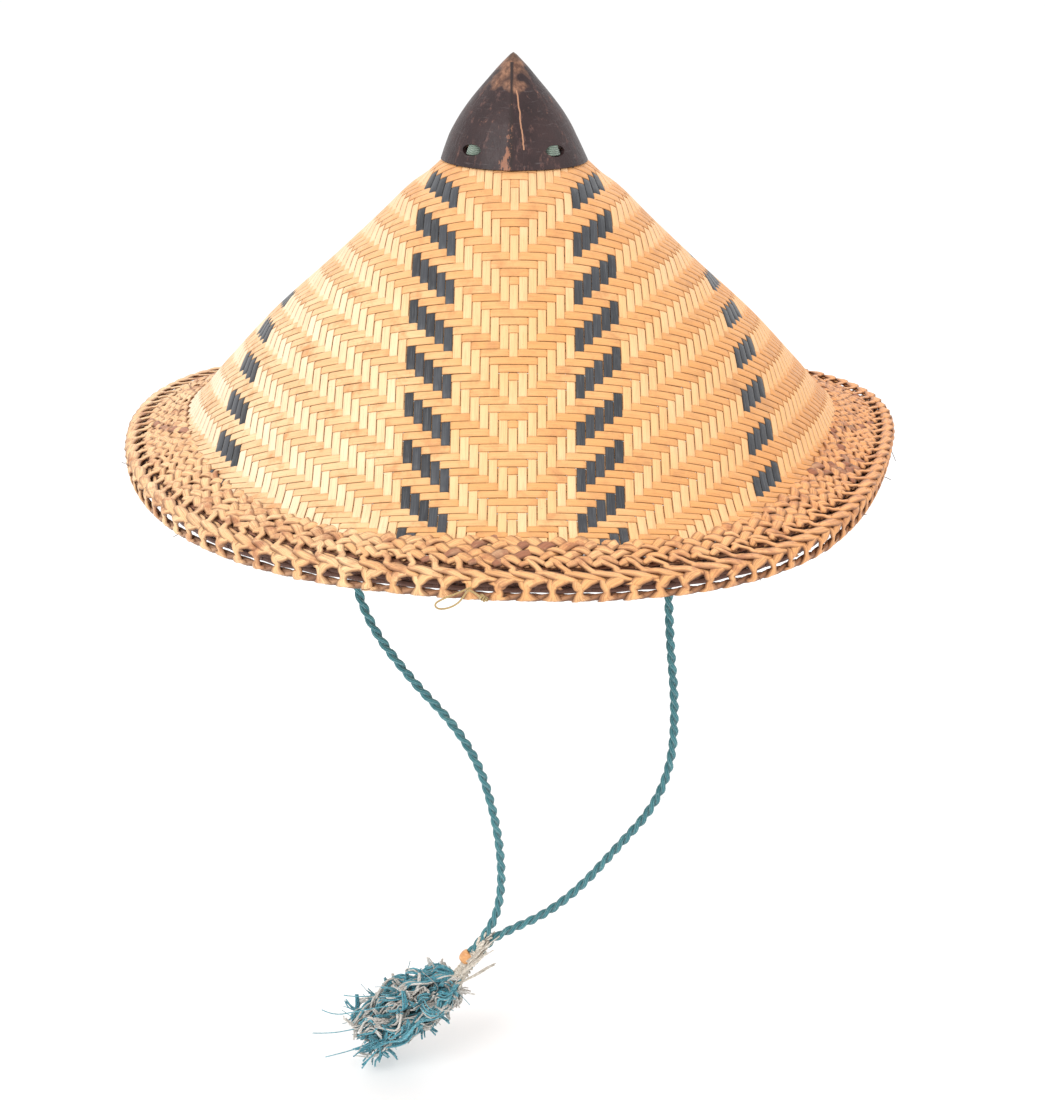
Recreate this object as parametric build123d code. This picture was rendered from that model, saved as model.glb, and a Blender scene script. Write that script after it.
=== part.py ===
from build123d import *
import os
from math import asin, atan2, copysign, cos, degrees, hypot, pi, radians, sin, tan

# A conical hat woven from split strips, with a coconut-shell finial, a plaited brim and a chin cord.
#
# Millimetres. +Z is up along the hat's axis and the front faces -Y. Left (-X) and right (+X) are as
# seen from the front. The origin is the centre of the head ring's mouth, where a head goes in.
# Points of the hat are given by a radius, a height above the lowest edge of the brim, and a turn
# about the axis from the front. hat_point() raises the sides of the brim and squares its plan.

# ---------------------------------------------------------------- driving dimensions

BRIM_RADIUS = 235.0          # nominal radius of the edge, before the plan is squared
RING_ABOVE_EDGE = 86.0       # height of the head ring's mouth over the lowest edge of the brim
SIDE_RISE = 17.9             # how much higher the brim is at the sides
FRONT_RISE = 9.5             # how much higher it is at the middle of the front and the back
FRONT_RISE_POWER = 6         # how narrow that middle is
SQUARENESS = 0.028           # share of the radius that the plan gains at its four corners
CORNER_TURN = radians(-8.3)  # the squared plan sits a little skew
FRONT_REACH = 0.037          # share of the radius that the front gains
FRONT_PINCH = 0.10           # share of the radius lost half way down the front and the back
PINCH_START = 45.0           # radius at which that loss begins

# the crown's outer face, (radius, height above the edge), from the hole at the top to the brim
CROWN = [(12, 197), (41, 188), (50, 179.8), (60, 172.3), (80, 152.5), (105, 127.9), (150, 83.7),
         (175, 54.7), (199, 26.9)]
MAT_DEPTH = 2.4              # all depths on the slope are measured upright
BRIM = [(199, 26.9), (207, 21.8), (215, 17.5), (222.5, 14.3)]   # joints between the plaited rows
ROW_DEPTH = 4.0
ROW_CROWN = 1.2              # how much the middle of a row stands proud

# sections of the brim's other bands, as corners (radius, height above the edge)
SLOTTED_ROW = [(222.6, 14.3), (226, 13.8), (229.4, 12.6), (229.4, 9.2), (222.6, 10.3)]
HERRINGBONE_ROW = [(229.6, 12.6), (232.6, 12.2), (234.6, 10.6), (235, 8.8), (232.4, 7.8), (229.6, 9.2)]
EDGE_BINDING = [(230.2, 2.8), (233.4, 2.8), (235, 1.6), (234.2, 0.2), (231.5, 0), (230, 1.2)]
HEM_BAND = [(226, 8.2), (228, 8), (228.4, 1.6), (226.6, 1.4)]

# the mat is a flat sector rolled up: straight strips on it become these curves on the crown
SECTOR_SHARE = 0.642         # flat angle for each angle round the hat
APEX_SLANT = 33.5            # from the sector's centre to the mat's inner edge
STRIP_PITCH = 4.86
STRIP_WIDTH = 4.5
DYED_START = 22.0            # slope length, under the finial, at which the front ones start
STATION_STEP = 12.0          # length of a dyed strip's straight pieces
SEAM_MARGIN = radians(2)     # flat angle left free beside the back seam
DYED_TOP = 0.5               # how proud of the mat a dyed strip stands
DYED_ROOT = 1.0              # how deep in it it lies
FRONT_DYED = range(7, 12)    # strips counted from the middle of the front, the same on both sides
LEFT_DYED = range(32, 36)
RIGHT_DYED = range(27, 31)

SEAM_STITCHES = 16
SEAM_SPAN = (54, 192)        # radii of the first and the last
SEAM_STITCH_REACH = (3.0, 2.0)   # half a stitch's reach round the hat and down the slope
SEAM_STITCH_HALF = 0.8
SEAM_STITCH_DEPTH = 1.2

EYELETS = 112
POST_RADIUS = 232.4
POST_MIDDLE = 5.3            # height of a post's middle
POST_WIDTH = 2.8
POST_DEPTH = 2.2
POST_HEIGHT = 4.4

RIBS = 12
RIB_WIDTH = 5.0
RIB_DEPTH = 2.6
GAP = 0.3                    # between curved pieces that lie on each other

RING_BORE = 88.0             # radius of the head ring's inner wall
RING_WALL = 3.0
RING_HEIGHT = 40.0
RING_HOOP_LIFTS = (1.0, 34.0)    # the lower edges of its two hoops
HOOP_WIDTH = 5.0
HOOP_DEPTH = 3.4
HOOP_ROUNDING = 1.2
CROWN_HOOP_RADII = (72, 160)
BRIM_HOOP_RADIUS = 219.0
BRIM_HOOP_TOP = 10.7
BRIM_HOOP_DEPTH = 4.6
LASHING_WIDTH = 6.0
LASHING_DEPTH = 1.6
LASHING_REACH = 10.0         # how far a lashing hangs below the head ring's top

PEG_HEIGHT = 20.0            # the chin cord's two pegs, above the head ring's mouth
PEG_RADIUS = 2.5
PEG_END = 104.0
PEG_HEAD_RADIUS = 4.4
PEG_HEAD_LENGTH = 2.4
EYE_CLEARANCE = 0.06
EYE_MIDDLE = 98.0
CORD_DIAMETER = 6.0

FINIAL_BASE_RADIUS = 42.6
FINIAL_BASE = 188.5
FINIAL_TIP = 248.0
FINIAL_BLUNT = 1.2           # radius of the worn point
FINIAL_SHOULDER = (29.8, 213.5)
FINIAL_WALL = 4.2
TIP_WALL = 7.0
SLOT_TURN = radians(37.5)
SLOT_HEIGHT = 197.6
SLOT_LENGTH = 12.0
SLOT_WIDTH = 5.6
SLOT_CUT = (29.0, 25.0)      # where a slot's cut starts, out from the axis, and its depth
STITCH = (7.0, 6.0)          # a stitch's length and its depth into the slot
STITCH_RADIUS = 35.8         # of its middle
KNOT_RADIUS = 3.0
KNOT_AT = 34.0               # the knots' distance from the axis

BEAD_RADIUS = 4.6
BEAD_LENGTH = 8.5
BEAD_AT = (-28.2, 0, -430.6)
BEAD_AXIS = (-0.62, 0, -0.78)

# the chin cord's two legs, from the eye round the peg down to the bead and the tassel
LEFT_ROUTE = [
    (-98, 0, 13),
    (-99, 2, -36),
    (-100, 3, -92),
    (-101, 2, -147),
    (-90, 0, -188),
    (-63, -2, -226),
    (-37, -3, -255),
    (-20, -2, -285),
    (-11, 0, -318),
    (-5.5, 1, -352),
    (-5, 1, -385),
    (-12, 0, -410),
    (-25.6, 0, -427.2),
]
RIGHT_ROUTE = [
    (98, 0, 13),
    (97.5, -2, -36),
    (97.5, -3, -92),
    (99, -2, -147),
    (103, 0, -197),
    (107.5, 2, -243),
    (106, 2, -285),
    (97, 2, -318),
    (79, 1, -347),
    (56, 0, -376),
    (30, 0, -396),
    (0, 1, -411),
    (-15, 3, -421.5),
    (-25.5, 5.5, -441.5),
]
BINDING_START = (-17.5, -1.0, -420)
BINDING_END = (-34, 2, -448.5)
BINDING_RADII = (2.6, 5.2)
TASSEL_END = (-111, 0, -501)
TASSEL_RADII = [(0.0, 5.0), (0.18, 12.0), (0.45, 20.0), (0.8, 21.0), (1.0, 13.0)]

TIE_AT = (-34.5, 1.7)        # middle of the rim tie's loop: X, and height over the lower edge there
TIE_OUT = 3.4                # how far in front of the edge it hangs
TIE_TILT = (0.15, 1, 0.25)   # what the loop faces
TIE_LOOP_RADIUS = 6.0
TIE_THREAD_RADIUS = 0.7
TIE_KNOT_RADIUS = 2.2
TIE_KNOT_FROM_LOOP = (15.4, -0.8, 1.2)

LOOP_POINTS = 32             # points that a closed curve round the hat goes through


# ---------------------------------------------------------------- the hat's own shape

def hat_point(radius, height, turn):
    """A point of the hat, from a nominal radius and height and a turn from the front."""
    share = (radius / BRIM_RADIUS) ** 2
    rise = SIDE_RISE * sin(turn) ** 2 + FRONT_RISE * cos(turn) ** FRONT_RISE_POWER
    down = min(max((radius - PINCH_START) / (BRIM_RADIUS - PINCH_START), 0), 1)
    pinch = FRONT_PINCH * 4 * down * (1 - down) * cos(turn) ** 2
    plan = FRONT_REACH * cos(3 * turn) - SQUARENESS * cos(4 * (turn - CORNER_TURN))
    out = radius * (1 + share * plan - pinch)
    return Vector(out * sin(turn), -out * cos(turn), height + share * rise - RING_ABOVE_EDGE)


def height_on(profile, radius):
    """The height of a profile of straight pieces at a radius."""
    for (r0, h0), (r1, h1) in zip(profile, profile[1:]):
        if radius <= r1:
            return h0 + (h1 - h0) * (radius - r0) / (r1 - r0)
    return profile[-1][1]


def profile_point(profile, radius, turn, lift=0):
    """A point on the straight line between two corners of a profile."""
    for (r0, h0), (r1, h1) in zip(profile, profile[1:]):
        if radius <= r1:
            share = (radius - r0) / (r1 - r0)
            low, high = hat_point(r0, h0 + lift, turn), hat_point(r1, h1 + lift, turn)
            return low + (high - low) * share
    return hat_point(profile[-1][0], profile[-1][1] + lift, turn)


def radius_at_slant(slant):
    """The radius on the crown at a length down its slope from the hole at the top."""
    for (r0, h0), (r1, h1) in zip(CROWN, CROWN[1:]):
        length = hypot(r1 - r0, h1 - h0)
        if slant <= length:
            return r0 + (r1 - r0) * slant / length
        slant -= length
    return CROWN[-1][0]


def corner_slants():
    """The length down the slope to each corner of the crown's profile."""
    slants = [0]
    for (r0, h0), (r1, h1) in zip(CROWN, CROWN[1:]):
        slants.append(slants[-1] + hypot(r1 - r0, h1 - h0))
    return slants


def loop(radius, height):
    """A closed curve round the hat."""
    points = [hat_point(radius, height, 2 * pi * i / LOOP_POINTS) for i in range(LOOP_POINTS)]
    steps = [i / LOOP_POINTS for i in range(LOOP_POINTS + 1)]
    return Edge.make_spline(points, periodic=True, parameters=steps)


def ring(section):
    """A solid all round the hat, from the corners of its section as (radius, height)."""
    edges = [loop(radius, height) for radius, height in section]
    faces = [Face.make_surface_from_curves(a, b) for a, b in zip(edges, edges[1:] + edges[:1])]
    return Solid(Shell(faces))


def hexagon_ring(radius, top, width, depth):
    """A hoop of cane with its flat top at a height."""
    half = width / 2
    return ring([
        (radius - half * 0.5, top),
        (radius + half * 0.5, top),
        (radius + half, top - depth / 2),
        (radius + half * 0.5, top - depth),
        (radius - half * 0.5, top - depth),
        (radius - half, top - depth / 2),
    ])


def bar(stations):
    """A solid through four-cornered stations, each a list of points."""
    return Solid.make_loft([Wire.make_polygon(corners, close=True) for corners in stations], ruled=True)


def bar_down(profile, radii, turn, width, depth):
    """A bar down the hat at one turn, with its top on a profile."""
    stations = []
    for radius in radii:
        half = width / 2 / radius
        stations.append([
            profile_point(profile, radius, turn - half),
            profile_point(profile, radius, turn + half),
            profile_point(profile, radius, turn + half, -depth),
            profile_point(profile, radius, turn - half, -depth),
        ])
    return bar(stations)


# ---------------------------------------------------------------- the mat

def crown_weave():
    under = [(radius, height - MAT_DEPTH) for radius, height in CROWN]
    return ring(CROWN + under[::-1])


def strip_point(across, flat_turn, lift):
    """A point of the crown from a strip's place across the flat mat and a turn on the mat."""
    slant = abs(across / sin(flat_turn)) - APEX_SLANT
    turn = copysign(flat_turn, across) / SECTOR_SHARE
    return profile_point(CROWN, radius_at_slant(slant), turn, lift)


def dyed_strip(column):
    """One dyed strip, from the brim up to the finial, or round the side to the back seam."""
    across = column * STRIP_PITCH
    near = abs(across) - STRIP_WIDTH / 2
    far = abs(across) + STRIP_WIDTH / 2
    brim_turn = asin(far / (APEX_SLANT + corner_slants()[-1] - 1))
    if far < APEX_SLANT + DYED_START:
        top_turn = asin(near / (APEX_SLANT + DYED_START))
    else:
        top_turn = pi * SECTOR_SHARE - SEAM_MARGIN
    length = near / tan(brim_turn) - near / tan(top_turn)
    count = round(length / STATION_STEP)
    stations = []
    for i in range(count + 1):
        down = near / tan(brim_turn) - length * i / count
        flat_turn = atan2(abs(across), down)
        half = copysign(STRIP_WIDTH / 2, across)
        stations.append([
            strip_point(across - half, flat_turn, DYED_TOP),
            strip_point(across + half, flat_turn, DYED_TOP),
            strip_point(across + half, flat_turn, -DYED_ROOT),
            strip_point(across - half, flat_turn, -DYED_ROOT),
        ])
    return bar(stations)


def front_dyed_strips():
    columns = [side * column for side in (-1, 1) for column in FRONT_DYED]
    return Compound(children=[dyed_strip(column) for column in columns])


def side_dyed_strips():
    columns = [-column for column in LEFT_DYED] + list(RIGHT_DYED)
    return Compound(children=[dyed_strip(column) for column in columns])


def seam_stitches():
    """A line of stitches down the back, where the rolled mat meets itself."""
    first, last = SEAM_SPAN
    around, down = SEAM_STITCH_REACH
    half = SEAM_STITCH_HALF
    stitches = []
    for i in range(SEAM_STITCHES):
        middle = first + (last - first) * i / (SEAM_STITCHES - 1)
        stations = []
        for side in (-1, 1):
            radius = middle + side * down
            turn = pi + side * around / middle
            top = height_on(CROWN, radius) - MAT_DEPTH - GAP
            under = top - SEAM_STITCH_DEPTH
            stations.append([
                hat_point(radius - half, top + half, turn),
                hat_point(radius + half, top - half, turn),
                hat_point(radius + half, under - half, turn),
                hat_point(radius - half, under + half, turn),
            ])
        stitches.append(bar(stations))
    return Compound(children=stitches)


# ---------------------------------------------------------------- the brim

def brim_row(index):
    """One flat plaited row of the brim, side by side with the next."""
    (r0, h0), (r1, h1) = BRIM[index], BRIM[index + 1]
    middle = (r0 + r1) / 2
    return ring([
        (r0, h0),
        (middle, (h0 + h1) / 2 + ROW_CROWN),
        (r1, h1),
        (r1, h1 - ROW_DEPTH),
        (r0, h0 - ROW_DEPTH),
    ])


def eyelet_posts():
    """The short strands between the herringbone row and the edge, with an eyelet after each."""
    posts = []
    for i in range(EYELETS):
        turn = 2 * pi * i / EYELETS
        post = Box(POST_WIDTH, POST_DEPTH, POST_HEIGHT).rotate(Axis.Z, degrees(turn))
        posts.append(post.moved(Location(hat_point(POST_RADIUS, POST_MIDDLE, turn))).solid())
    return Compound(children=posts)


def rim_hoop():
    return hexagon_ring(BRIM_HOOP_RADIUS, BRIM_HOOP_TOP, HOOP_WIDTH, BRIM_HOOP_DEPTH)


def rim_tie():
    """The thin thread at the front edge: its loop hangs free, and a knot holds it."""
    edge = hat_point(BRIM_RADIUS, 0, TIE_AT[0] / BRIM_RADIUS)
    centre = Vector(TIE_AT[0], edge.Y - TIE_OUT, edge.Z + TIE_AT[1])
    plane = Plane(origin=centre, z_dir=TIE_TILT)
    thread = Torus(TIE_LOOP_RADIUS, TIE_THREAD_RADIUS).moved(plane.location)
    knot = Sphere(TIE_KNOT_RADIUS).moved(Location(centre + Vector(TIE_KNOT_FROM_LOOP)))
    return Compound(children=[thread.solid(), knot.solid()])


# ---------------------------------------------------------------- the frame inside

RIB_TOP = [(radius, height - MAT_DEPTH - GAP) for radius, height in CROWN]
RIB_UNDER = [(radius, height - RIB_DEPTH - GAP) for radius, height in RIB_TOP]
RIB_RADII = [radius for radius, height in CROWN[2:-1]] + [196]


def ribs():
    return Compound(children=[bar_down(RIB_TOP, RIB_RADII, turn, RIB_WIDTH, RIB_DEPTH)
                              for turn in rib_turns(1)])


def rib_turns(step):
    return [pi / RIBS + 2 * pi * i / RIBS for i in range(0, RIBS, step)]


def inner_hoop(radius):
    return hexagon_ring(radius, height_on(RIB_UNDER, radius + HOOP_WIDTH / 4), HOOP_WIDTH, HOOP_DEPTH)


def tube_wall(inner, outer, bottom, top):
    """A round tube about the axis."""
    wall = Cylinder(outer, top - bottom) - Cylinder(inner, top - bottom)
    return wall.moved(Location((0, 0, (bottom + top) / 2)))


def side_cylinder(radius, start, end):
    """A cylinder along X at the height of the pegs."""
    middle = Plane(origin=((start + end) / 2, 0, PEG_HEIGHT), z_dir=(1, 0, 0))
    return Cylinder(radius, abs(end - start)).moved(middle.location)


def head_ring():
    band = tube_wall(RING_BORE, RING_BORE + RING_WALL, 0, RING_HEIGHT)
    for side in (-1, 1):
        band -= side_cylinder(PEG_RADIUS, side * (RING_BORE - 5), side * (RING_BORE + 10))
    return band.solid()


def ring_hoop(bottom):
    """Half-round cane round the head ring."""
    inner = RING_BORE + RING_WALL
    with BuildPart() as hoop:
        with BuildSketch(Plane.XZ):
            with Locations((inner + HOOP_DEPTH / 2, bottom + HOOP_WIDTH / 2)):
                RectangleRounded(HOOP_DEPTH, HOOP_WIDTH, HOOP_ROUNDING)
        revolve(axis=Axis.Z)
    return hoop.part.solid()


def ring_lashings():
    """Ties from the head ring's upper hoop to every other rib."""
    ties = []
    inner = RING_BORE + RING_WALL + HOOP_DEPTH + 0.1
    outer = inner + LASHING_DEPTH
    bottom = RING_HEIGHT - LASHING_REACH
    for turn in rib_turns(2):
        top = rib_underside(outer + 2, turn) - 2 * GAP
        tie = Box(LASHING_WIDTH, LASHING_DEPTH, top - bottom)
        tie = tie.moved(Location((0, -(inner + outer) / 2, (top + bottom) / 2)))
        ties.append(tie.rotate(Axis.Z, degrees(turn)).solid())
    return Compound(children=ties)


def rib_underside(distance, turn):
    """The height under the ribs at a real distance from the axis."""
    for radius in range(round(distance), round(BRIM_RADIUS)):
        under = profile_point(RIB_UNDER, radius, turn)
        if hypot(under.X, under.Y) > distance:
            return under.Z


def cord_pegs():
    pegs = []
    for side in (-1, 1):
        peg = side_cylinder(PEG_RADIUS, side * (RING_BORE + 0.6), side * PEG_END)
        peg += side_cylinder(PEG_HEAD_RADIUS, side * (PEG_END - PEG_HEAD_LENGTH), side * PEG_END)
        pegs.append(peg.solid())
    return Compound(children=pegs)


# ---------------------------------------------------------------- the finial

def finial():
    """Half a coconut shell, pointed, with an oval slot for each stitch."""
    tip, worn = (0, FINIAL_TIP), (FINIAL_BLUNT, FINIAL_TIP - 0.6)
    tip_inner, worn_inner = (0, FINIAL_TIP - TIP_WALL), (FINIAL_BLUNT, FINIAL_TIP - TIP_WALL - 0.4)
    shoulder_inner = (FINIAL_SHOULDER[0] - FINIAL_WALL, FINIAL_SHOULDER[1] - 2.5)
    base, base_inner = (FINIAL_BASE_RADIUS, FINIAL_BASE), (FINIAL_BASE_RADIUS - FINIAL_WALL, FINIAL_BASE + 1)
    with BuildPart() as shell:
        with BuildSketch(Plane.XZ):
            with BuildLine():
                Spline(base, FINIAL_SHOULDER, worn)
                Polyline(worn, tip, tip_inner, worn_inner)
                Spline(worn_inner, shoulder_inner, base_inner)
                Line(base_inner, base)
            make_face()
        revolve(axis=Axis.Z)
    body = shell.part
    start, depth = SLOT_CUT
    for turn in slot_turns():
        outward = Vector(sin(turn), -cos(turn), 0)
        across = Vector(cos(turn), sin(turn), 0)
        plane = Plane(origin=Vector(0, 0, SLOT_HEIGHT) + outward * start, x_dir=across, z_dir=outward)
        body -= extrude(plane * SlotOverall(SLOT_LENGTH, SLOT_WIDTH), amount=depth)
    return body.solid().moved(Location((0, 0, -RING_ABOVE_EDGE)))


def slot_turns():
    return [SLOT_TURN, -SLOT_TURN, pi - SLOT_TURN, pi + SLOT_TURN]


def finial_stitches():
    """A short flat cord across the middle of each slot, level with the shell's face."""
    stitches = []
    for turn in slot_turns():
        stitch = Box(*STITCH, SLOT_WIDTH - GAP)
        stitch = stitch.moved(Location((0, -STITCH_RADIUS, SLOT_HEIGHT - RING_ABOVE_EDGE)))
        stitches.append(stitch.rotate(Axis.Z, degrees(turn)).solid())
    return Compound(children=stitches)


def finial_knots():
    """Where the finial's cords are knotted under the mat."""
    knots = []
    for turn in slot_turns():
        at = hat_point(KNOT_AT, height_on(CROWN, KNOT_AT) - MAT_DEPTH - KNOT_RADIUS - 2 * GAP, turn)
        knots.append(Sphere(KNOT_RADIUS).moved(Location(at)).solid())
    return Compound(children=knots)


# ---------------------------------------------------------------- the chin cord

def cord_radii(route):
    """The bend radius at each inner point: as large as its two runs allow."""
    radii = []
    for before, here, after in zip(route, route[1:], route[2:]):
        run_in = Vector(here) - Vector(before)
        run_out = Vector(after) - Vector(here)
        half_turn = radians(run_in.get_angle(run_out)) / 2
        radii.append(0.45 * min(run_in.length, run_out.length) / tan(half_turn))
    return radii


def cord(route):
    radii = cord_radii(route)
    path = FilletPolyline(*route, radius=radii)
    start = Plane(origin=path @ 0, z_dir=path % 0)
    tube = sweep(start * Circle(CORD_DIAMETER / 2), path=path).solid()
    expected = pi * (CORD_DIAMETER / 2) ** 2 * path.length
    print("cord length", round(path.length, 1), "smallest radius", round(min(radii), 1),
          "radii", [round(r) for r in radii], "volume share", round(tube.volume / expected, 4))
    return tube


def cord_eye(side):
    """The cord's end tied in an eye round its peg."""
    inner = PEG_RADIUS + EYE_CLEARANCE
    half = CORD_DIAMETER / 2
    start, end = side * (EYE_MIDDLE - half), side * (EYE_MIDDLE + half)
    eye = side_cylinder(inner + CORD_DIAMETER - 0.6, start, end)
    eye = fillet(eye.edges().filter_by(GeomType.CIRCLE), half * 0.7)
    eye -= side_cylinder(inner, start - side, end + side)
    return eye.solid()


def turned(profile, start, end):
    """A solid of revolution on the line from start to end, from (share of length, radius)."""
    line = Vector(end) - Vector(start)
    length = line.length
    corners = [(0, 0)] + [(radius, share * length) for share, radius in profile] + [(0, length)]
    face = make_face(Polyline(*corners, close=True))
    solid = revolve(Plane.XZ * face, axis=Axis.Z)
    return solid.moved(Plane(origin=start, z_dir=line).location).solid()


def bead():
    axis = Vector(BEAD_AXIS).normalized()
    start = Vector(BEAD_AT) - axis * BEAD_LENGTH / 2
    end = Vector(BEAD_AT) + axis * BEAD_LENGTH / 2
    bulge = [(0.0, 0.62), (0.18, 0.88), (0.5, 1.0), (0.82, 0.88), (1.0, 0.62)]
    return turned([(share, part * BEAD_RADIUS) for share, part in bulge], start, end)


def fibre_binding():
    thin, thick = BINDING_RADII
    return turned([(0.0, thin * 0.7), (0.4, thin), (1.0, thick)], BINDING_START, BINDING_END)


def tassel():
    return turned(TASSEL_RADII, BINDING_END, TASSEL_END)


# ---------------------------------------------------------------- write the nodes

NODES = {
    "crown_weave": crown_weave,
    "front_dyed_strips": front_dyed_strips,
    "side_dyed_strips": side_dyed_strips,
    "back_seam_stitches": seam_stitches,
    "brim_row_inner": lambda: brim_row(0),
    "brim_row_middle": lambda: brim_row(1),
    "brim_row_outer": lambda: brim_row(2),
    "brim_slotted_row": lambda: ring(SLOTTED_ROW),
    "brim_herringbone_row": lambda: ring(HERRINGBONE_ROW),
    "brim_eyelet_posts": eyelet_posts,
    "brim_edge_binding": lambda: ring(EDGE_BINDING),
    "brim_hem_band": lambda: ring(HEM_BAND),
    "brim_hoop": rim_hoop,
    "rim_tie": rim_tie,
    "crown_ribs": ribs,
    "crown_hoop_upper": lambda: inner_hoop(CROWN_HOOP_RADII[0]),
    "crown_hoop_lower": lambda: inner_hoop(CROWN_HOOP_RADII[1]),
    "head_ring": head_ring,
    "head_ring_hoop_lower": lambda: ring_hoop(RING_HOOP_LIFTS[0]),
    "head_ring_hoop_upper": lambda: ring_hoop(RING_HOOP_LIFTS[1]),
    "head_ring_lashings": ring_lashings,
    "cord_pegs": cord_pegs,
    "finial": finial,
    "finial_stitches": finial_stitches,
    "finial_knots": finial_knots,
    "cord_eye_left": lambda: cord_eye(-1),
    "cord_eye_right": lambda: cord_eye(1),
    "chin_cord_left": lambda: cord(LEFT_ROUTE),
    "chin_cord_right": lambda: cord(RIGHT_ROUTE),
    "cord_bead": bead,
    "fibre_binding": fibre_binding,
    "tassel": tassel,
}

os.makedirs("parts", exist_ok=True)
for name, make in NODES.items():
    export_step(make(), f"parts/{name}.step")
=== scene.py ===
import math
import random

import bpy
import numpy as np
from mathutils import Matrix, Vector


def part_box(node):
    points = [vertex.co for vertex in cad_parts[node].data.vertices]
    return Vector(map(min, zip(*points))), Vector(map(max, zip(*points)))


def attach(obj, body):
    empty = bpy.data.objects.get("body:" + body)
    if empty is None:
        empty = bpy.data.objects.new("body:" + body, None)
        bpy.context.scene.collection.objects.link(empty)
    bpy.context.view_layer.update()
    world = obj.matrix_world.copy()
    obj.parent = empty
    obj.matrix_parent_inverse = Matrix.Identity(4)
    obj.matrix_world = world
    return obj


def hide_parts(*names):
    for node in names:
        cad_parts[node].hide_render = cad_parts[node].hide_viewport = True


# The visual model of a conical hat woven from split strips. Metres in Blender; the hat's own shape is
# worked out in millimetres, as a radius, a height above the lowest edge of the brim, and a turn
# about the axis from the front (-Y), and scaled at the end.

MM = 0.001
TAU = 2 * math.pi

# ---- the hat's shape, as in the CAD

BRIM_RADIUS = 235.0
RING_ABOVE_EDGE = 86.0
SIDE_RISE = 17.9
FRONT_RISE = 9.5
FRONT_RISE_POWER = 6
SQUARENESS = 0.028
CORNER_TURN = math.radians(-8.3)
FRONT_REACH = 0.037
FRONT_PINCH = 0.10
PINCH_START = 45.0
CROWN = [(12, 197), (41, 188), (50, 179.8), (60, 172.3), (80, 152.5), (105, 127.9), (150, 83.7),
         (175, 54.7), (199, 26.9)]
BRIM = [(207, 21.8), (215, 17.5), (222.5, 14.3), (229.4, 12.6)]
SECTOR_SHARE = 0.642         # flat angle on the unrolled mat for each angle round the hat
APEX_SLANT = 33.5            # from the unrolled sector's centre to where lengths down the face begin
# where the plait begins: (degrees from the front, radius)
MAT_EDGE = [(-180, 199), (-110, 198.6), (-69, 199.5), (-46, 206.5), (-23, 211), (0, 207.5), (23, 211.5),
            (46, 206.3), (69, 199.5), (110, 198.6), (180, 199)]
MAT_TUCK = 4.0               # how far the mat runs on under the plait
MAT_REACH = 310              # no part of the mat is further from the sector's centre
EYELETS = 112

# ---- the weave

COLUMN_PITCH = 4.86
ROW_ANCHOR = 73.0            # distance down the mat of a row that starts a chevron
ROW_PITCH = 5.3
ROW_TAPER = 0.0122           # rows get narrower towards the brim
TWILL = 3                    # strips pass over three and under three
STRIP_HALF = 2.35
ROW_FILL = 0.487             # half width of a cross strip, as a share of the row pitch
STRIP_THICKNESS = 0.75
WEAVE_LIFT = 0.46            # how far a strip's middle rises over the mat's middle where it floats
MAT_MIDDLE = -0.85           # the mat's middle under the crown's face
FRONT_DYED = (7, 11)         # strips counted from the middle of the front, both sides
LEFT_DYED = (-35, -32)
RIGHT_DYED = (27, 30)

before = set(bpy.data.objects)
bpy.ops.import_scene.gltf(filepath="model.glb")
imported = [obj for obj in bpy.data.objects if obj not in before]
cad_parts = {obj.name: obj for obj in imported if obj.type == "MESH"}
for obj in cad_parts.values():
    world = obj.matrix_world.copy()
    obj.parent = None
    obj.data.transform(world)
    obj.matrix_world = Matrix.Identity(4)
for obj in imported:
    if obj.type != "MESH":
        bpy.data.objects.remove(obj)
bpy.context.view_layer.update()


def hat_points(radius, height, turn):
    """Points of the hat in millimetres above the head ring's mouth, from arrays or numbers."""
    radius, height, turn = np.broadcast_arrays(
        np.asarray(radius, float), np.asarray(height, float), np.asarray(turn, float))
    share = (radius / BRIM_RADIUS) ** 2
    rise = SIDE_RISE * np.sin(turn) ** 2
    rise = rise + FRONT_RISE * np.abs(np.cos(turn)) ** FRONT_RISE_POWER
    down = np.clip((radius - PINCH_START) / (BRIM_RADIUS - PINCH_START), 0, 1)
    pinch = FRONT_PINCH * 4 * down * (1 - down) * np.cos(turn) ** 2
    plan = FRONT_REACH * np.cos(3 * turn) - SQUARENESS * np.cos(4 * (turn - CORNER_TURN))
    out = radius * (1 + share * plan - pinch)
    return np.stack([
        out * np.sin(turn),
        -out * np.cos(turn),
        height + share * rise - RING_ABOVE_EDGE,
    ], axis=-1)


def smooth_curve(x, xs, ys):
    """A smooth curve through points, its slope at each the mean of its neighbours'."""
    slopes = np.gradient(ys, xs)
    i = np.clip(np.searchsorted(xs, x) - 1, 0, len(xs) - 2)
    width = xs[i + 1] - xs[i]
    t = np.clip((x - xs[i]) / width, 0, 1)
    a = 2 * t ** 3 - 3 * t ** 2 + 1
    b = t ** 3 - 2 * t ** 2 + t
    c = -2 * t ** 3 + 3 * t ** 2
    d = t ** 3 - t ** 2
    return a * ys[i] + b * width * slopes[i] + c * ys[i + 1] + d * width * slopes[i + 1]


FACE_R, FACE_H = np.array(CROWN + BRIM, float).T
TABLE_R = np.linspace(FACE_R[0], FACE_R[-1], 436)
TABLE_TURNS = np.linspace(-math.pi, math.pi, 361)
TABLE_SLANTS = np.linspace(0, 290, 581)


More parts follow.
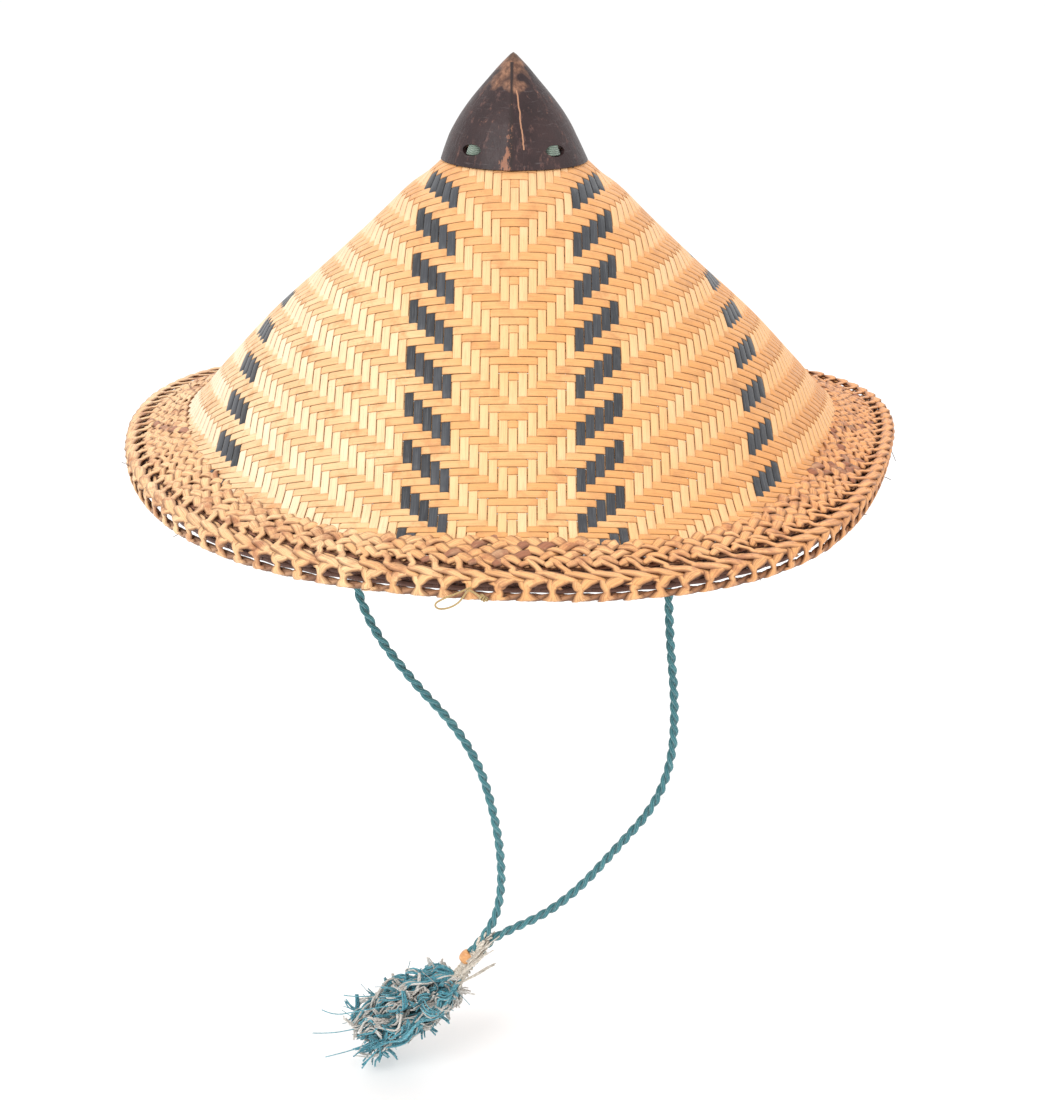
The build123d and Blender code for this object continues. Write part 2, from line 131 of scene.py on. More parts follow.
def radius_table():
    """The radius at each turn and length down the hat's face, which isn't the same all round."""
    heights = smooth_curve(TABLE_R, FACE_R, FACE_H)
    lines = hat_points(TABLE_R[None, :], heights[None, :], TABLE_TURNS[:, None])
    steps = np.linalg.norm(np.diff(lines, axis=1), axis=2)
    slants = np.concatenate([np.zeros((len(steps), 1)), np.cumsum(steps, axis=1)], axis=1)
    return np.stack([np.interp(TABLE_SLANTS, row, TABLE_R) for row in slants])


RADII = radius_table()


def face_radius(slant, turn):
    """The radius at a length down the hat's face, read from the table."""
    turn = (np.asarray(turn, float) + math.pi) % TAU
    i = np.clip(turn / (TAU) * (len(TABLE_TURNS) - 1), 0, len(TABLE_TURNS) - 1.001)
    k = np.clip(slant / TABLE_SLANTS[1], 0, len(TABLE_SLANTS) - 1.001)
    row, column = np.floor(i).astype(int), np.floor(k).astype(int)
    i, k = i - row, k - column
    near = RADII[row, column] * (1 - k) + RADII[row, column + 1] * k
    far = RADII[row + 1, column] * (1 - k) + RADII[row + 1, column + 1] * k
    return near * (1 - i) + far * i


EDGE_TURN, EDGE_RADIUS = np.array(MAT_EDGE, float).T


def mat_edge(turn):
    """The radius at which the plait covers the mat's edge."""
    degrees = (np.degrees(turn) + 180) % 360 - 180
    return smooth_curve(degrees, EDGE_TURN, EDGE_RADIUS)


def crown_points(slant, turn):
    """Points on the crown's face from a length down its slope and a turn."""
    radius = face_radius(slant, turn)
    return hat_points(radius, smooth_curve(radius, FACE_R, FACE_H), turn)


def mat_points(across, down):
    """Points on the crown's face from a place on the unrolled mat."""
    slant = np.hypot(across, down) - APEX_SLANT
    return crown_points(slant, np.arctan2(across, down) / SECTOR_SHARE)


# ---- meshes

UP = np.array([0.0, 0.0, 1.0])


def outward_at(turn):
    """The level direction away from the axis at a turn."""
    return np.array([math.sin(turn), -math.cos(turn), 0.0])


def across_at(turn):
    """The level direction round the hat at a turn."""
    return np.array([math.cos(turn), math.sin(turn), 0.0])


def full_turn(steps):
    """Even angles all the way round, without the last that would repeat the first."""
    return np.linspace(0, TAU, steps, endpoint=False)


def unit(v):
    """Vectors of length one, the same way as those given."""
    return v / np.maximum(np.linalg.norm(v, axis=-1, keepdims=True), 1e-9)


class Build:
    """Collects strips into one mesh: quads, a strip-wise tone, and a map along and across strips."""

    def __init__(self):
        self.points, self.quads, self.maps, self.tones, self.count = [], [], [], [], 0

    def sweep(self, middle, side, up, section, half, thick, tone, closed=False, caps=True):
        """Sweeps a closed section, given as (sideways, upwards) shares, along a line of points."""
        n, m = len(middle), len(section)
        half = np.broadcast_to(half, n)[:, None, None]
        thick = np.broadcast_to(thick, n)[:, None, None]
        shape = np.asarray(section, float)
        ring = (middle[:, None, :] + side[:, None, :] * half * shape[None, :, :1]
                + up[:, None, :] * thick * shape[None, :, 1:])
        rows = np.arange(n if closed else n - 1)
        a = (rows[:, None] * m + np.arange(m)[None, :])
        b = (rows[:, None] * m + (np.arange(m)[None, :] + 1) % m)
        c = (((rows[:, None] + 1) % n) * m + (np.arange(m)[None, :] + 1) % m)
        d = (((rows[:, None] + 1) % n) * m + np.arange(m)[None, :])
        quads = np.stack([a, d, c, b], axis=-1).reshape(-1, 4) + self.count
        length = lengths_along(middle)
        around = np.linspace(0, 1, m, endpoint=False)
        uv = np.stack(np.broadcast_arrays(length[:, None], around[None, :]), axis=-1)
        self.points.append(ring.reshape(-1, 3))
        self.quads.append(quads)
        self.maps.append(uv.reshape(-1, 2))
        self.tones.append(np.full(n * m, tone))
        if caps and not closed and m % 2 == 0:
            for start, flip in ((0, False), ((n - 1) * m, True)):
                k = np.arange(m // 2 - 1)
                cap = np.stack([k, k + 1, m - 2 - k, m - 1 - k], axis=-1) + start + self.count
                self.quads.append(cap[:, ::-1] if flip else cap)
        self.count += n * m

    def lay(self, line, hint, section, half, thick, tone, closed=False, caps=True):
        """Sweeps a section along a line of points, with its upper side towards the hint."""
        frames = closed_frames if closed else frames_along
        side, up = frames(line, np.broadcast_to(hint, line.shape))
        self.sweep(line, side, up, section, half, thick, tone, closed, caps)

    def piece(self, name, material, body, slot, replaces=()):
        points = np.concatenate(self.points) * MM
        quads = np.concatenate(self.quads)
        mesh = bpy.data.meshes.new(name)
        mesh.vertices.add(len(points))
        mesh.vertices.foreach_set("co", points.ravel())
        mesh.loops.add(quads.size)
        mesh.loops.foreach_set("vertex_index", quads.ravel().astype(np.int32))
        mesh.polygons.add(len(quads))
        mesh.polygons.foreach_set("loop_start", np.arange(0, quads.size, 4, dtype=np.int32))
        mesh.update(calc_edges=True)
        mesh.validate()
        mesh.polygons.foreach_set("use_smooth", [True] * len(mesh.polygons))
        along, around = np.concatenate(self.maps).T
        for label, values in (("tone", np.concatenate(self.tones)), ("along", along), ("around", around)):
            attribute = mesh.attributes.new(label, "FLOAT", "POINT")
            attribute.data.foreach_set("value", np.ascontiguousarray(values))
        obj = bpy.data.objects.new(name, mesh)
        bpy.context.collection.objects.link(obj)
        mesh.materials.append(material)
        return settle(obj, body, replaces)


def settle(obj, body, replaces=()):
    """Puts an object on its body and hides the CAD nodes it stands for."""
    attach(obj, body)
    if replaces:
        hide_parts(*replaces)
    return obj


def lengths_along(line):
    """The length from a line's start to each of its points."""
    return np.concatenate([[0], np.cumsum(np.linalg.norm(np.diff(line, axis=0), axis=1))])


def frames_along(line, hint):
    """Side and up directions for a line of points, with up near the hint."""
    tangent = unit(np.gradient(line, axis=0))
    side = unit(np.cross(tangent, hint))
    return side, unit(np.cross(side, tangent))


def closed_frames(line, hint):
    """The same for a line whose end meets its start."""
    tangent = unit(np.roll(line, -1, axis=0) - np.roll(line, 1, axis=0))
    side = unit(np.cross(tangent, hint))
    return side, unit(np.cross(side, tangent))


# ---- materials

class Nodes:
    """A material's nodes, made and linked in one call each."""

    def __init__(self, name, roughness, sheen=0.0, coat=0.0, specular=0.5):
        self.material = bpy.data.materials.new(name)
        self.material.use_nodes = True
        self.tree = self.material.node_tree
        self.shader = self.tree.nodes["Principled BSDF"]
        self.shader.inputs["Roughness"].default_value = roughness
        self.shader.inputs["Sheen Weight"].default_value = sheen
        self.shader.inputs["Coat Weight"].default_value = coat
        self.shader.inputs["Specular IOR Level"].default_value = specular
        self.place = self.node("ShaderNodeTexCoord").outputs["Object"]

    def node(self, kind, **settings):
        made = self.tree.nodes.new(kind)
        for name, value in settings.items():
            setattr(made, name, value)
        return made

    def link(self, value, socket):
        if hasattr(value, "is_output"):
            self.tree.links.new(value, socket)
        else:
            socket.default_value = value

    def attribute(self, name):
        return self.node("ShaderNodeAttribute", attribute_name=name).outputs["Fac"]

    def math(self, operation, a, b=0.0):
        made = self.node("ShaderNodeMath", operation=operation)
        self.link(a, made.inputs[0])
        self.link(b, made.inputs[1])
        return made.outputs[0]

    def plus(self, a, b):
        return self.math("ADD", a, b)

    def minus(self, a, b):
        return self.math("SUBTRACT", a, b)

    def times(self, a, b):
        return self.math("MULTIPLY", a, b)

    def split(self):
        """The object's own x, y and z."""
        made = self.node("ShaderNodeSeparateXYZ")
        self.link(self.place, made.inputs[0])
        return made.outputs

    def vector(self, x, y, z):
        made = self.node("ShaderNodeCombineXYZ")
        for value, socket in zip((x, y, z), made.inputs):
            self.link(value, socket)
        return made.outputs[0]

    def noise(self, vector, scale, detail=3.0, roughness=0.6, stretch=None):
        if stretch:
            mapping = self.node("ShaderNodeMapping")
            mapping.inputs["Scale"].default_value = stretch
            self.link(vector, mapping.inputs["Vector"])
            vector = mapping.outputs[0]
        made = self.node("ShaderNodeTexNoise")
        for label, value in (("Scale", scale), ("Detail", detail), ("Roughness", roughness)):
            made.inputs[label].default_value = value
        self.link(vector, made.inputs["Vector"])
        return made.outputs["Fac"]

    def ramp(self, value, stops):
        made = self.node("ShaderNodeValToRGB")
        while len(made.color_ramp.elements) < len(stops):
            made.color_ramp.elements.new(0.5)
        for element, (at, colour) in zip(made.color_ramp.elements, stops):
            element.position = at
            element.color = (*colour, 1) if isinstance(colour, tuple) else (colour,) * 3 + (1,)
        self.link(value, made.inputs[0])
        return made.outputs[0]

    def fade(self, value, start, end, most=1.0):
        """Nothing up to the start, and the most from the end on."""
        return self.ramp(value, [(start, 0.0), (end, most)])

    def mix(self, share, a, b):
        made = self.node("ShaderNodeMix", data_type="RGBA")
        self.link(share, made.inputs[0])
        self.link((*a, 1) if isinstance(a, tuple) else a, made.inputs[6])
        self.link((*b, 1) if isinstance(b, tuple) else b, made.inputs[7])
        return made.outputs[2]

    def finish(self, colour, height=None, depth=0.0002, strength=0.5, rough=None):
        self.link(colour, self.shader.inputs["Base Color"])
        if rough is not None:
            self.link(rough, self.shader.inputs["Roughness"])
        if height is not None:
            bump = self.node("ShaderNodeBump")
            bump.inputs["Strength"].default_value = strength
            bump.inputs["Distance"].default_value = depth
            self.link(height, bump.inputs["Height"])
            self.link(bump.outputs[0], self.shader.inputs["Normal"])
        return self.material


def strip_material(name, pale, deep, dark, spots=0.5, roughness=0.5, streak=0.35, stain=None, edge=0.75,
                   painted_left_light=0.5):
    """Split plant strip: long fibres, a tone of its own for each strip, small specks, painted shade along
    its edges and on the hat's right side, and painted light on the hat's left side.
    """
    n = Nodes(name, roughness, sheen=0.05, specular=0.35)
    tone = n.attribute("tone")
    fibre_at = n.vector(n.attribute("along"), n.times(n.attribute("around"), 40.0),
                        n.times(tone, 97.0))
    fibres = n.noise(fibre_at, 1.0, 4, 0.65, (0.08, 1.0, 1.0))
    patches = n.noise(n.place, 26.0, 3, 0.55)
    base = n.mix(tone, pale, deep)
    base = n.mix(n.fade(patches, 0.35, 0.75), base, deep)
    across, _, height = n.split()
    # painted shade: the hat's right side, away from the key light, is darker and more orange; painted
    # light: its left side is paler
    rightwards = n.plus(n.times(across, 3.0), 0.38)
    leftwards = n.minus(n.times(across, -3.5), 0.1)
    base = n.mix(n.fade(rightwards, 0.0, 1.0, 0.9), base, (deep[0], deep[1] * 0.82, deep[2] * 0.70))
    # darker and more orange towards the top of the crown
    base = n.mix(n.fade(height, 0.03, 0.11, 0.55), base, (deep[0], deep[1] * 0.9, deep[2]))
    base = n.mix(n.fade(leftwards, 0.0, 0.5, painted_left_light), base, (pale[0], pale[1] * 1.12, pale[2] * 1.45))
    if stain:
        stains = n.noise(n.place, 75.0, 4, 0.7)
        base = n.mix(n.fade(stains, 0.50, 0.68, 0.85), base, stain)
    # painted shade along each strip's edges, where the strips meet and pass under one another
    from_middle = n.math("ABSOLUTE", n.minus(n.attribute("around"), 0.4167))
    base = n.mix(n.fade(from_middle, 0.10, 0.26, edge), base, dark)
    streaked = n.mix(n.fade(fibres, 0.45, 0.78, streak), base, dark)
    specks = n.noise(n.place, 900.0, 2, 0.5)
    marked = n.mix(n.fade(specks, 0.70, 0.78, spots), streaked, dark)
    return n.finish(marked, fibres, 0.00015, 0.5)


def dyed_material():
    """Split strip dyed black, a little worn along its fibres."""
    n = Nodes("dyed_strip", 0.42, sheen=0.1, specular=0.45)
    tone = n.attribute("tone")
    fibre_at = n.vector(n.attribute("along"), n.times(n.attribute("around"), 50.0),
                        n.times(tone, 97.0))
    fibres = n.noise(fibre_at, 1.0, 4, 0.7, (0.07, 1.0, 1.0))
    base = n.mix(tone, (0.018, 0.019, 0.023), (0.042, 0.045, 0.053))
    worn = n.mix(n.fade(fibres, 0.5, 0.8, 0.7), base, (0.15, 0.16, 0.17))
    return n.finish(worn, fibres, 0.00015, 0.5)


def cane_material(name, pale, deep):
    """Round cane, with grain along it and patches of age."""
    n = Nodes(name, 0.45, coat=0.1)
    grain = n.noise(n.place, 60.0, 5, 0.65, (1.0, 1.0, 6.0))
    nodes_ = n.noise(n.place, 9.0, 2, 0.5)
    base = n.mix(n.fade(grain, 0.3, 0.7), pale, deep)
    aged = n.mix(n.fade(nodes_, 0.5, 0.8, 0.5), base, (0.16, 0.08, 0.035))
    return n.finish(aged, grain, 0.0003, 0.4)


def yarn_material(name, pale, deep, twist=14.0, worn=(0.5, 0.5, 0.45), wear=0.15, shade=0.6):
    """Twisted yarn: fine threads run aslant round it."""
    n = Nodes(name, 0.85, sheen=0.35, specular=0.25)
    tone = n.attribute("tone")
    slant = n.plus(n.times(n.attribute("along"), 0.45),
                   n.times(n.attribute("around"), twist))
    wave = n.math("SINE", n.times(slant, TAU / 1.6))
    fuzz = n.noise(n.place, 700.0, 3, 0.7)
    patches = n.noise(n.place, 60.0, 3, 0.6)
    base = n.mix(tone, pale, deep)
    base = n.mix(n.fade(patches, 0.4, 0.7, 0.8), base, deep)
    # painted shade in the grooves between the twisted threads
    shaded = n.mix(n.ramp(wave, [(0.0, shade), (0.6, 0.0)]), base, tuple(c * 0.35 for c in deep))
    faded = n.mix(n.fade(fuzz, 0.55, 0.72, wear), shaded, worn)
    height = n.plus(wave, fuzz)
    return n.finish(faded, height, 0.0003, 0.6)


# places on the shell, in metres
WORN_ABOVE = 0.1462          # the tip is worn pale over this height
DARK_ABOVE = 0.1565          # but darker again at the very top
SEAM_X = -0.0022             # the dark seam down the front
SEAM_BELOW = 0.157
STREAKS_X = -0.0045          # the middle of the rusty streaks
STREAKS_HEIGHT = 0.104
CRACK_SPAN = (0.113, 0.143)
CRACK_X = 0.0011             # where the crack is at CRACK_MIDDLE
CRACK_MIDDLE = 0.1405
CRACK_SLOPE = 0.144


def shell_material():
    """Scraped coconut shell: dark, with fine scratches, a worn tip, a crack and rusty streaks low down."""
    n = Nodes("shell", 0.42, coat=0.05, specular=0.28)
    fibres = n.noise(n.place, 120.0, 5, 0.7, (3.0, 3.0, 0.28))
    scratches = n.noise(n.place, 260.0, 4, 0.75, (1.0, 1.0, 0.12))
    level = n.noise(n.place, 300.0, 3, 0.7, (0.35, 0.35, 3.0))
    clouds = n.noise(n.place, 45.0, 3, 0.6)
    base = n.mix(n.fade(clouds, 0.3, 0.7), (0.020, 0.010, 0.011), (0.042, 0.021, 0.021))
    scratched = n.mix(n.fade(scratches, 0.55, 0.68, 0.8), base, (0.13, 0.065, 0.055))
    scratched = n.mix(n.fade(level, 0.60, 0.74, 0.5), scratched, (0.13, 0.105, 0.105))
    across, forward, height = n.split()
    front = n.math("LESS_THAN", forward, 0.0)
    tip = n.plus(n.times(n.minus(height, WORN_ABOVE), 75.0), n.times(n.minus(clouds, 0.5), 5.0))
    worn = n.mix(n.fade(tip, 0.0, 0.5, 0.85), scratched,
                 n.mix(n.fade(fibres, 0.4, 0.62), (0.12, 0.055, 0.035), (0.36, 0.18, 0.105)))
    top = n.fade(n.times(n.minus(height, DARK_ABOVE), 300.0), 0.0, 1.0, 0.7)
    worn = n.mix(top, worn, (0.05, 0.035, 0.028))
    seam = n.math("ABSOLUTE", n.minus(across, SEAM_X))
    broken = n.ramp(n.plus(n.times(seam, 400.0), n.times(clouds, 0.5)), [(0.45, 1.0), (0.8, 0.0)])
    seam = n.times(n.times(broken, front), n.math("LESS_THAN", height, SEAM_BELOW))
    worn = n.mix(seam, worn, (0.028, 0.016, 0.015))
    side = n.math("ABSOLUTE", n.minus(across, STREAKS_X))
    near = n.minus(1.15, n.times(side, 210.0))
    low = n.minus(1.1, n.times(n.minus(height, STREAKS_HEIGHT), 34.0))
    streaks = n.times(n.math("MAXIMUM", near, 0.0), n.math("MAXIMUM", low, 0.0))
    streaks = n.times(streaks, front)
    grain = n.minus(n.plus(fibres, scratches), 1.1)
    streaks = n.plus(streaks, n.times(grain, 3.2))
    rusty = n.mix(n.fade(streaks, 0.42, 0.72, 0.9), worn, (0.30, 0.13, 0.075))
    wander = n.noise(n.place, 90.0, 3, 0.6, (0.01, 0.01, 1.0))
    waver = n.times(n.minus(wander, 0.5), 0.0035)
    middle = n.plus(n.times(n.minus(CRACK_MIDDLE, height), CRACK_SLOPE), CRACK_X)
    off = n.math("ABSOLUTE", n.minus(n.minus(across, middle), waver))
    crack = n.ramp(n.times(off, 1000.0), [(0.30, 1.0), (0.55, 0.0)])
    low, high = CRACK_SPAN
    span = n.times(n.math("GREATER_THAN", height, low), n.math("LESS_THAN", height, high))
    crack = n.times(n.times(crack, span), front)
    cracked = n.mix(crack, rusty, (0.44, 0.22, 0.13))
    rough = n.ramp(scratches, [(0.3, 0.32), (0.8, 0.6)])
    relief = n.minus(n.plus(fibres, scratches), n.times(crack, 1.5))
    return n.finish(cracked, relief, 0.0006, 0.6, rough)


PALE = strip_material("pale_strip", (0.96, 0.74, 0.46), (0.84, 0.53, 0.245), (0.24, 0.10, 0.035), edge=0.5)
WARM = strip_material("warm_strip", (0.89, 0.61, 0.31), (0.75, 0.39, 0.14), (0.22, 0.085, 0.03),
                      stain=(0.62, 0.29, 0.11), edge=0.6)
DYED = dyed_material()
RIM = strip_material("rim_strip", (0.99, 0.68, 0.36), (0.85, 0.46, 0.19), (0.19, 0.07, 0.03),
                     streak=0.95, stain=(0.47, 0.18, 0.08), edge=0.8, painted_left_light=0.2)
RIM_BROWN = strip_material("rim_strip_brown", (0.50, 0.23, 0.125), (0.36, 0.15, 0.08), (0.09, 0.04, 0.025),
                           0.4, 0.6, 0.7, stain=(0.62, 0.36, 0.2), edge=0.7)
EDGE_BROWN = strip_material("edge_strip", (0.62, 0.35, 0.18), (0.44, 0.22, 0.11), (0.10, 0.045, 0.025),
                            0.4, 0.6, 0.6, stain=(0.24, 0.11, 0.07))
# painted shade: a darker copy of the brim's brown, for strips that lie in shade
RIM_SHADED = strip_material("hem_strip_shaded", (0.22, 0.11, 0.075), (0.14, 0.065, 0.045), (0.05, 0.022, 0.015),
                          0.4, 0.6, 0.6)
CANE = cane_material("cane", (0.58, 0.36, 0.16), (0.44, 0.24, 0.09))
GOLD = yarn_material("golden_thread", (0.76, 0.54, 0.22), (0.58, 0.37, 0.13), shade=0.35)
SHELL = shell_material()
STITCH = yarn_material("stitch_cord", (0.33, 0.42, 0.34), (0.20, 0.27, 0.21), 6.0)
TEAL = yarn_material("teal_yarn", (0.13, 0.39, 0.43), (0.065, 0.24, 0.28), 12.0, (0.42, 0.60, 0.60), 0.45)
TASSEL_TEAL = yarn_material("tassel_teal", (0.17, 0.50, 0.59), (0.05, 0.26, 0.34), 3.0,
                            (0.55, 0.75, 0.78), 0.45, 0.35)
TASSEL_PALE = yarn_material("tassel_undyed", (0.84, 0.82, 0.77), (0.60, 0.56, 0.51), 3.0, shade=0.3)
RAW = yarn_material("raw_fibre", (0.90, 0.85, 0.76), (0.76, 0.68, 0.57), 3.0, shade=0.4)


def bead_material():
    """Polished wood, with grain."""
    n = Nodes("bead_wood", 0.35, coat=0.3)
    grain = n.noise(n.place, 240.0, 4, 0.6, (1.0, 1.0, 2.5))
    base = n.mix(n.fade(grain, 0.3, 0.75), (0.82, 0.43, 0.17), (0.50, 0.21, 0.07))
    return n.finish(base, grain, 0.0001, 0.3)


# ---- camera, floor and lights

CAMERA_AT = (0, -1.1, 0.274)
CAMERA_DOWN = 0.3583
CAMERA_YAW = -0.006
CAMERA_ROLL = 0.0102
LENS = 62.06


def set_camera():
    """The camera looks slightly down at the front of the hat."""
    camera = bpy.data.objects.new("camera", bpy.data.cameras.new("camera"))
    camera.data.lens = LENS
    camera.data.clip_end = 60
    bpy.context.collection.objects.link(camera)
    camera.matrix_world = (
        Matrix.Translation(CAMERA_AT)
        @ Matrix.Rotation(CAMERA_YAW, 4, "Z")
        @ Matrix.Rotation(math.pi / 2 - CAMERA_DOWN, 4, "X")
        @ Matrix.Rotation(CAMERA_ROLL, 4, "Z")
    )
    bpy.context.scene.camera = camera


FLOOR = -0.5175
FLOOR_HALF = 14
WORLD_STRENGTH = 1.1
LIGHTS = (                   # name, place, what it's aimed at, size, power
    ("key", (-1.2, -1.5, 1.5), (0, 0, 0.05), 1.3, 26),
    ("fill", (1.7, -1.3, 1.0), (0, 0, 0), 1.6, 6),
    ("back", (0.3, 1.8, 1.7), (0, 0, 0.05), 1.6, 8),
)


def set_floor_and_lights():
    mesh = bpy.data.meshes.new("floor")
    corners = [(x * FLOOR_HALF, y * FLOOR_HALF, FLOOR) for x, y in ((-1, -1), (1, -1), (1, 1), (-1, 1))]
    mesh.from_pydata(corners, [], [(0, 1, 2, 3)])
    floor = bpy.data.objects.new("floor", mesh)
    bpy.context.collection.objects.link(floor)
    paper = Nodes("paper", 0.9, specular=0.1)
    tint = paper.noise(paper.place, 3.0, 2, 0.5)
    mesh.materials.append(paper.finish(paper.mix(tint, (0.93, 0.93, 0.93), (0.95, 0.95, 0.95))))
    world = bpy.data.worlds.new("studio")
    bpy.context.scene.world = world
    world.use_nodes = True
    background = world.node_tree.nodes["Background"]
    background.inputs[0].default_value = (1, 1, 1, 1)
    background.inputs[1].default_value = WORLD_STRENGTH
    bpy.context.scene.view_settings.view_transform = "Standard"
    for name, at, aim, size, power in LIGHTS:
        light = bpy.data.objects.new(name, bpy.data.lights.new(name, "AREA"))
        light.data.size = size
        light.data.energy = power
        bpy.context.collection.objects.link(light)
        facing = (Vector(aim) - Vector(at)).to_track_quat("-Z", "Y")
        light.matrix_world = Matrix.Translation(at) @ facing.to_matrix().to_4x4()


set_camera()
set_floor_and_lights()

# ---- the chin cord

LEFT_ROUTE = [
    (-98, 0, 13), (-99, 2, -36), (-100, 3, -92), (-101, 2, -147), (-90, 0, -188),
    (-63, -2, -226), (-37, -3, -255), (-20, -2, -285), (-11, 0, -318), (-5.5, 1, -352),
    (-5, 1, -385), (-12, 0, -410), (-25.6, 0, -427.2),
]
RIGHT_ROUTE = [
    (98, 0, 13), (97.5, -2, -36), (96.5, -3, -92), (97, -2, -147), (100, 0, -197),
    (105.5, 2, -243), (105, 2, -285), (94, 2, -318), (71, 1, -347), (48, 0, -376),
    (25, 0, -397), (-1, 1, -411), (-15, 3, -421.5), (-25.5, 5.5, -441.5),
]
PLY_TURN = 17.4              # length in which a ply goes once round
PLY_RADIUS = 1.62
PLY_OFFSET = 1.40
PEG_HEIGHT = 20.0
EYE_MIDDLE = 98.0
EYE_INNER = 2.56


def nurbs_points(route, resolution=24):
    """Points read from the route's own smooth spline, in millimetres."""
    curve = bpy.data.curves.new("route", "CURVE")
    curve.dimensions = "3D"
    curve.resolution_u = resolution
    spline = curve.splines.new("NURBS")
    spline.points.add(len(route) - 1)
    for point, at in zip(spline.points, route):
        point.co = (at[0] * MM, at[1] * MM, at[2] * MM, 1)
    spline.order_u = 3
    spline.use_endpoint_u = True
    holder = bpy.data.objects.new("route", curve)
    mesh = bpy.data.meshes.new_from_object(holder)
    points = np.array([v.co[:] for v in mesh.vertices]) / MM
    bpy.data.objects.remove(holder)
    bpy.data.curves.remove(curve)
    bpy.data.meshes.remove(mesh)
    return points


def resample(points, step):
    """The same line in even steps."""
    length = lengths_along(points)
    even = np.linspace(0, length[-1], max(3, round(length[-1] / step) + 1))
    return np.stack([np.interp(even, length, points[:, k]) for k in range(3)], axis=-1)


def circle(sides, squash=1.0):
    """A round section, or one flattened to a share of its height."""
    angles = TAU * np.arange(sides) / sides
    return [(math.cos(a), math.sin(a) * squash) for a in angles]


def wind(build, line, side, up, angle, offset, section, radius, tone, closed=False):
    """One ply wound round a line, at an angle that changes along it."""
    away = side * np.cos(angle)[:, None] + up * np.sin(angle)[:, None]
    build.lay(line + away * offset, away, section, radius, radius, tone, closed)


def twisted(build, line, phase):
    """Two plies wound round a line."""
    side, up = frames_along(line, np.broadcast_to((0, 1, 0.02), line.shape))
    length = lengths_along(line)
    for ply, tone in enumerate((0.3, 0.7)):
        angle = TAU * (length / PLY_TURN + ply / 2) + phase
        wind(build, line, side, up, angle, PLY_OFFSET, circle(10), PLY_RADIUS, tone)


def fuzz(build, line, count, spread, reach, radius, seed):
    """Short stray fibres standing off a yarn."""
    draw = np.random.default_rng(seed)
    for _ in range(count):
        at = line[draw.integers(2, len(line) - 2)]
        way = unit(draw.normal(size=3))
        start = at + way * spread * 0.8
        bend = unit(draw.normal(size=3))
        steps = np.linspace(0, 1, 5)[:, None]
        length = reach * draw.uniform(0.4, 1.0)
        curl = start + way * steps * length + bend * steps ** 2 * length * 0.8
        half = radius * np.linspace(1, 0.5, 5)
        build.lay(curl, (0.3, 0.9, 0.2), circle(3), half, radius, draw.uniform(0, 1), caps=False)


def make_cords():
    """Both legs, each of two plies wound round its route."""
    for name, route, seed in (("left", LEFT_ROUTE, 3), ("right", RIGHT_ROUTE, 4)):
        line = resample(nurbs_points(route), 0.9)
        build = Build()
        twisted(build, line, seed)
        fuzz(build, line, 150, 2.9, 2.2, 0.09, seed)
        node = f"chin_cord_{name}"
        cord = build.piece(f"{node}_plies", TEAL, "chin_cord", "teal_cord", (node,))


make_cords()

# ---- the woven crown

FLAT_STRIP = [(-1, -0.45), (-0.985, 0.18), (-0.84, 0.5), (0.84, 0.5), (0.985, 0.18), (1, -0.45)]
MAT_START = APEX_SLANT + 20  # the mat's inner edge, under the finial
MAT_ROWS = range(-33, 54)    # the cross strips, from behind the sector's centre to the front of the brim
SHORTEST_RUN = 8.0           # a strip's stretch on the mat that is shorter than this is left out
MAT_LINE = np.arange(-MAT_REACH, MAT_REACH, 0.5)


def row_middle(row):
    """How far down the mat a cross strip lies. Every sixth row from row 5 starts a chevron."""
    n = row - 5.0
    return ROW_ANCHOR + ROW_PITCH * n - ROW_TAPER * n * max(n, 0)


def upright_over(row, column):
    """Whether the upright floats over the cross strip here: a twill that turns back at the middle."""
    return (row + abs(column)) % (2 * TWILL) < TWILL


def cell_stations(edges, states):
    """Places and lifts along a strip: it changes level only where it crosses into a new cell."""
    places, lifts = [], []
    before = states[0]
    for start, end, state in zip(edges, edges[1:], states):
        places += [start, start + (end - start) * 0.22, start + (end - start) * 0.78]
        lifts += [(before + state) / 2, state, state]
        before = state
    return np.array(places + [edges[-1]]), np.array(lifts + [states[-1]], float)


def clip_stations(places, lifts, low, high):
    """Keeps the stations between two ends, with one on each end."""
    inside = (places > low + 0.3) & (places < high - 0.3)
    ends = np.interp([low, high], places, lifts)
    places = np.concatenate([[low], places[inside], [high]])
    return places, np.concatenate([[ends[0]], lifts[inside], [ends[1]]])


def runs_on_mat(places, across, down):
    """The stretches of a strip that lie on the mat, which is open at the back seam and at its middle."""
    turn = np.arctan2(across, down) / SECTOR_SHARE
    from_middle = np.hypot(across, down)
    inside = face_radius(from_middle - APEX_SLANT, turn) < mat_edge(turn) + MAT_TUCK
    inside &= (from_middle > MAT_START) & (np.abs(turn) < math.pi)
    ends = np.flatnonzero(np.diff(np.concatenate([[0], inside.astype(int), [0]])))
    runs = [(places[a], places[b - 1]) for a, b in zip(ends[::2], ends[1::2])]
    return [(low, high) for low, high in runs if high - low > SHORTEST_RUN]


def lay_strip(build, across, down, lifts, half, tone):
    """Lays a strip on the mat, rising and sinking about the mat's middle."""
    step = 0.4
    middle = mat_points(across, down)
    right = mat_points(across + step, down) - mat_points(across - step, down)
    below = mat_points(across, down + step) - mat_points(across, down - step)
    up = unit(np.cross(below, right))
    tangent = unit(np.gradient(middle, axis=0))
    side = unit(np.cross(up, tangent))
    middle = middle + up * (MAT_MIDDLE + WEAVE_LIFT * lifts)[:, None]
    build.sweep(middle, side, up, FLAT_STRIP, half, STRIP_THICKNESS, tone)


def is_dyed(column):
    """Whether an upright strip is one of the black ones."""
    return (FRONT_DYED[0] <= abs(column) <= FRONT_DYED[1]
            or LEFT_DYED[0] <= column <= LEFT_DYED[1]
            or RIGHT_DYED[0] <= column <= RIGHT_DYED[1])


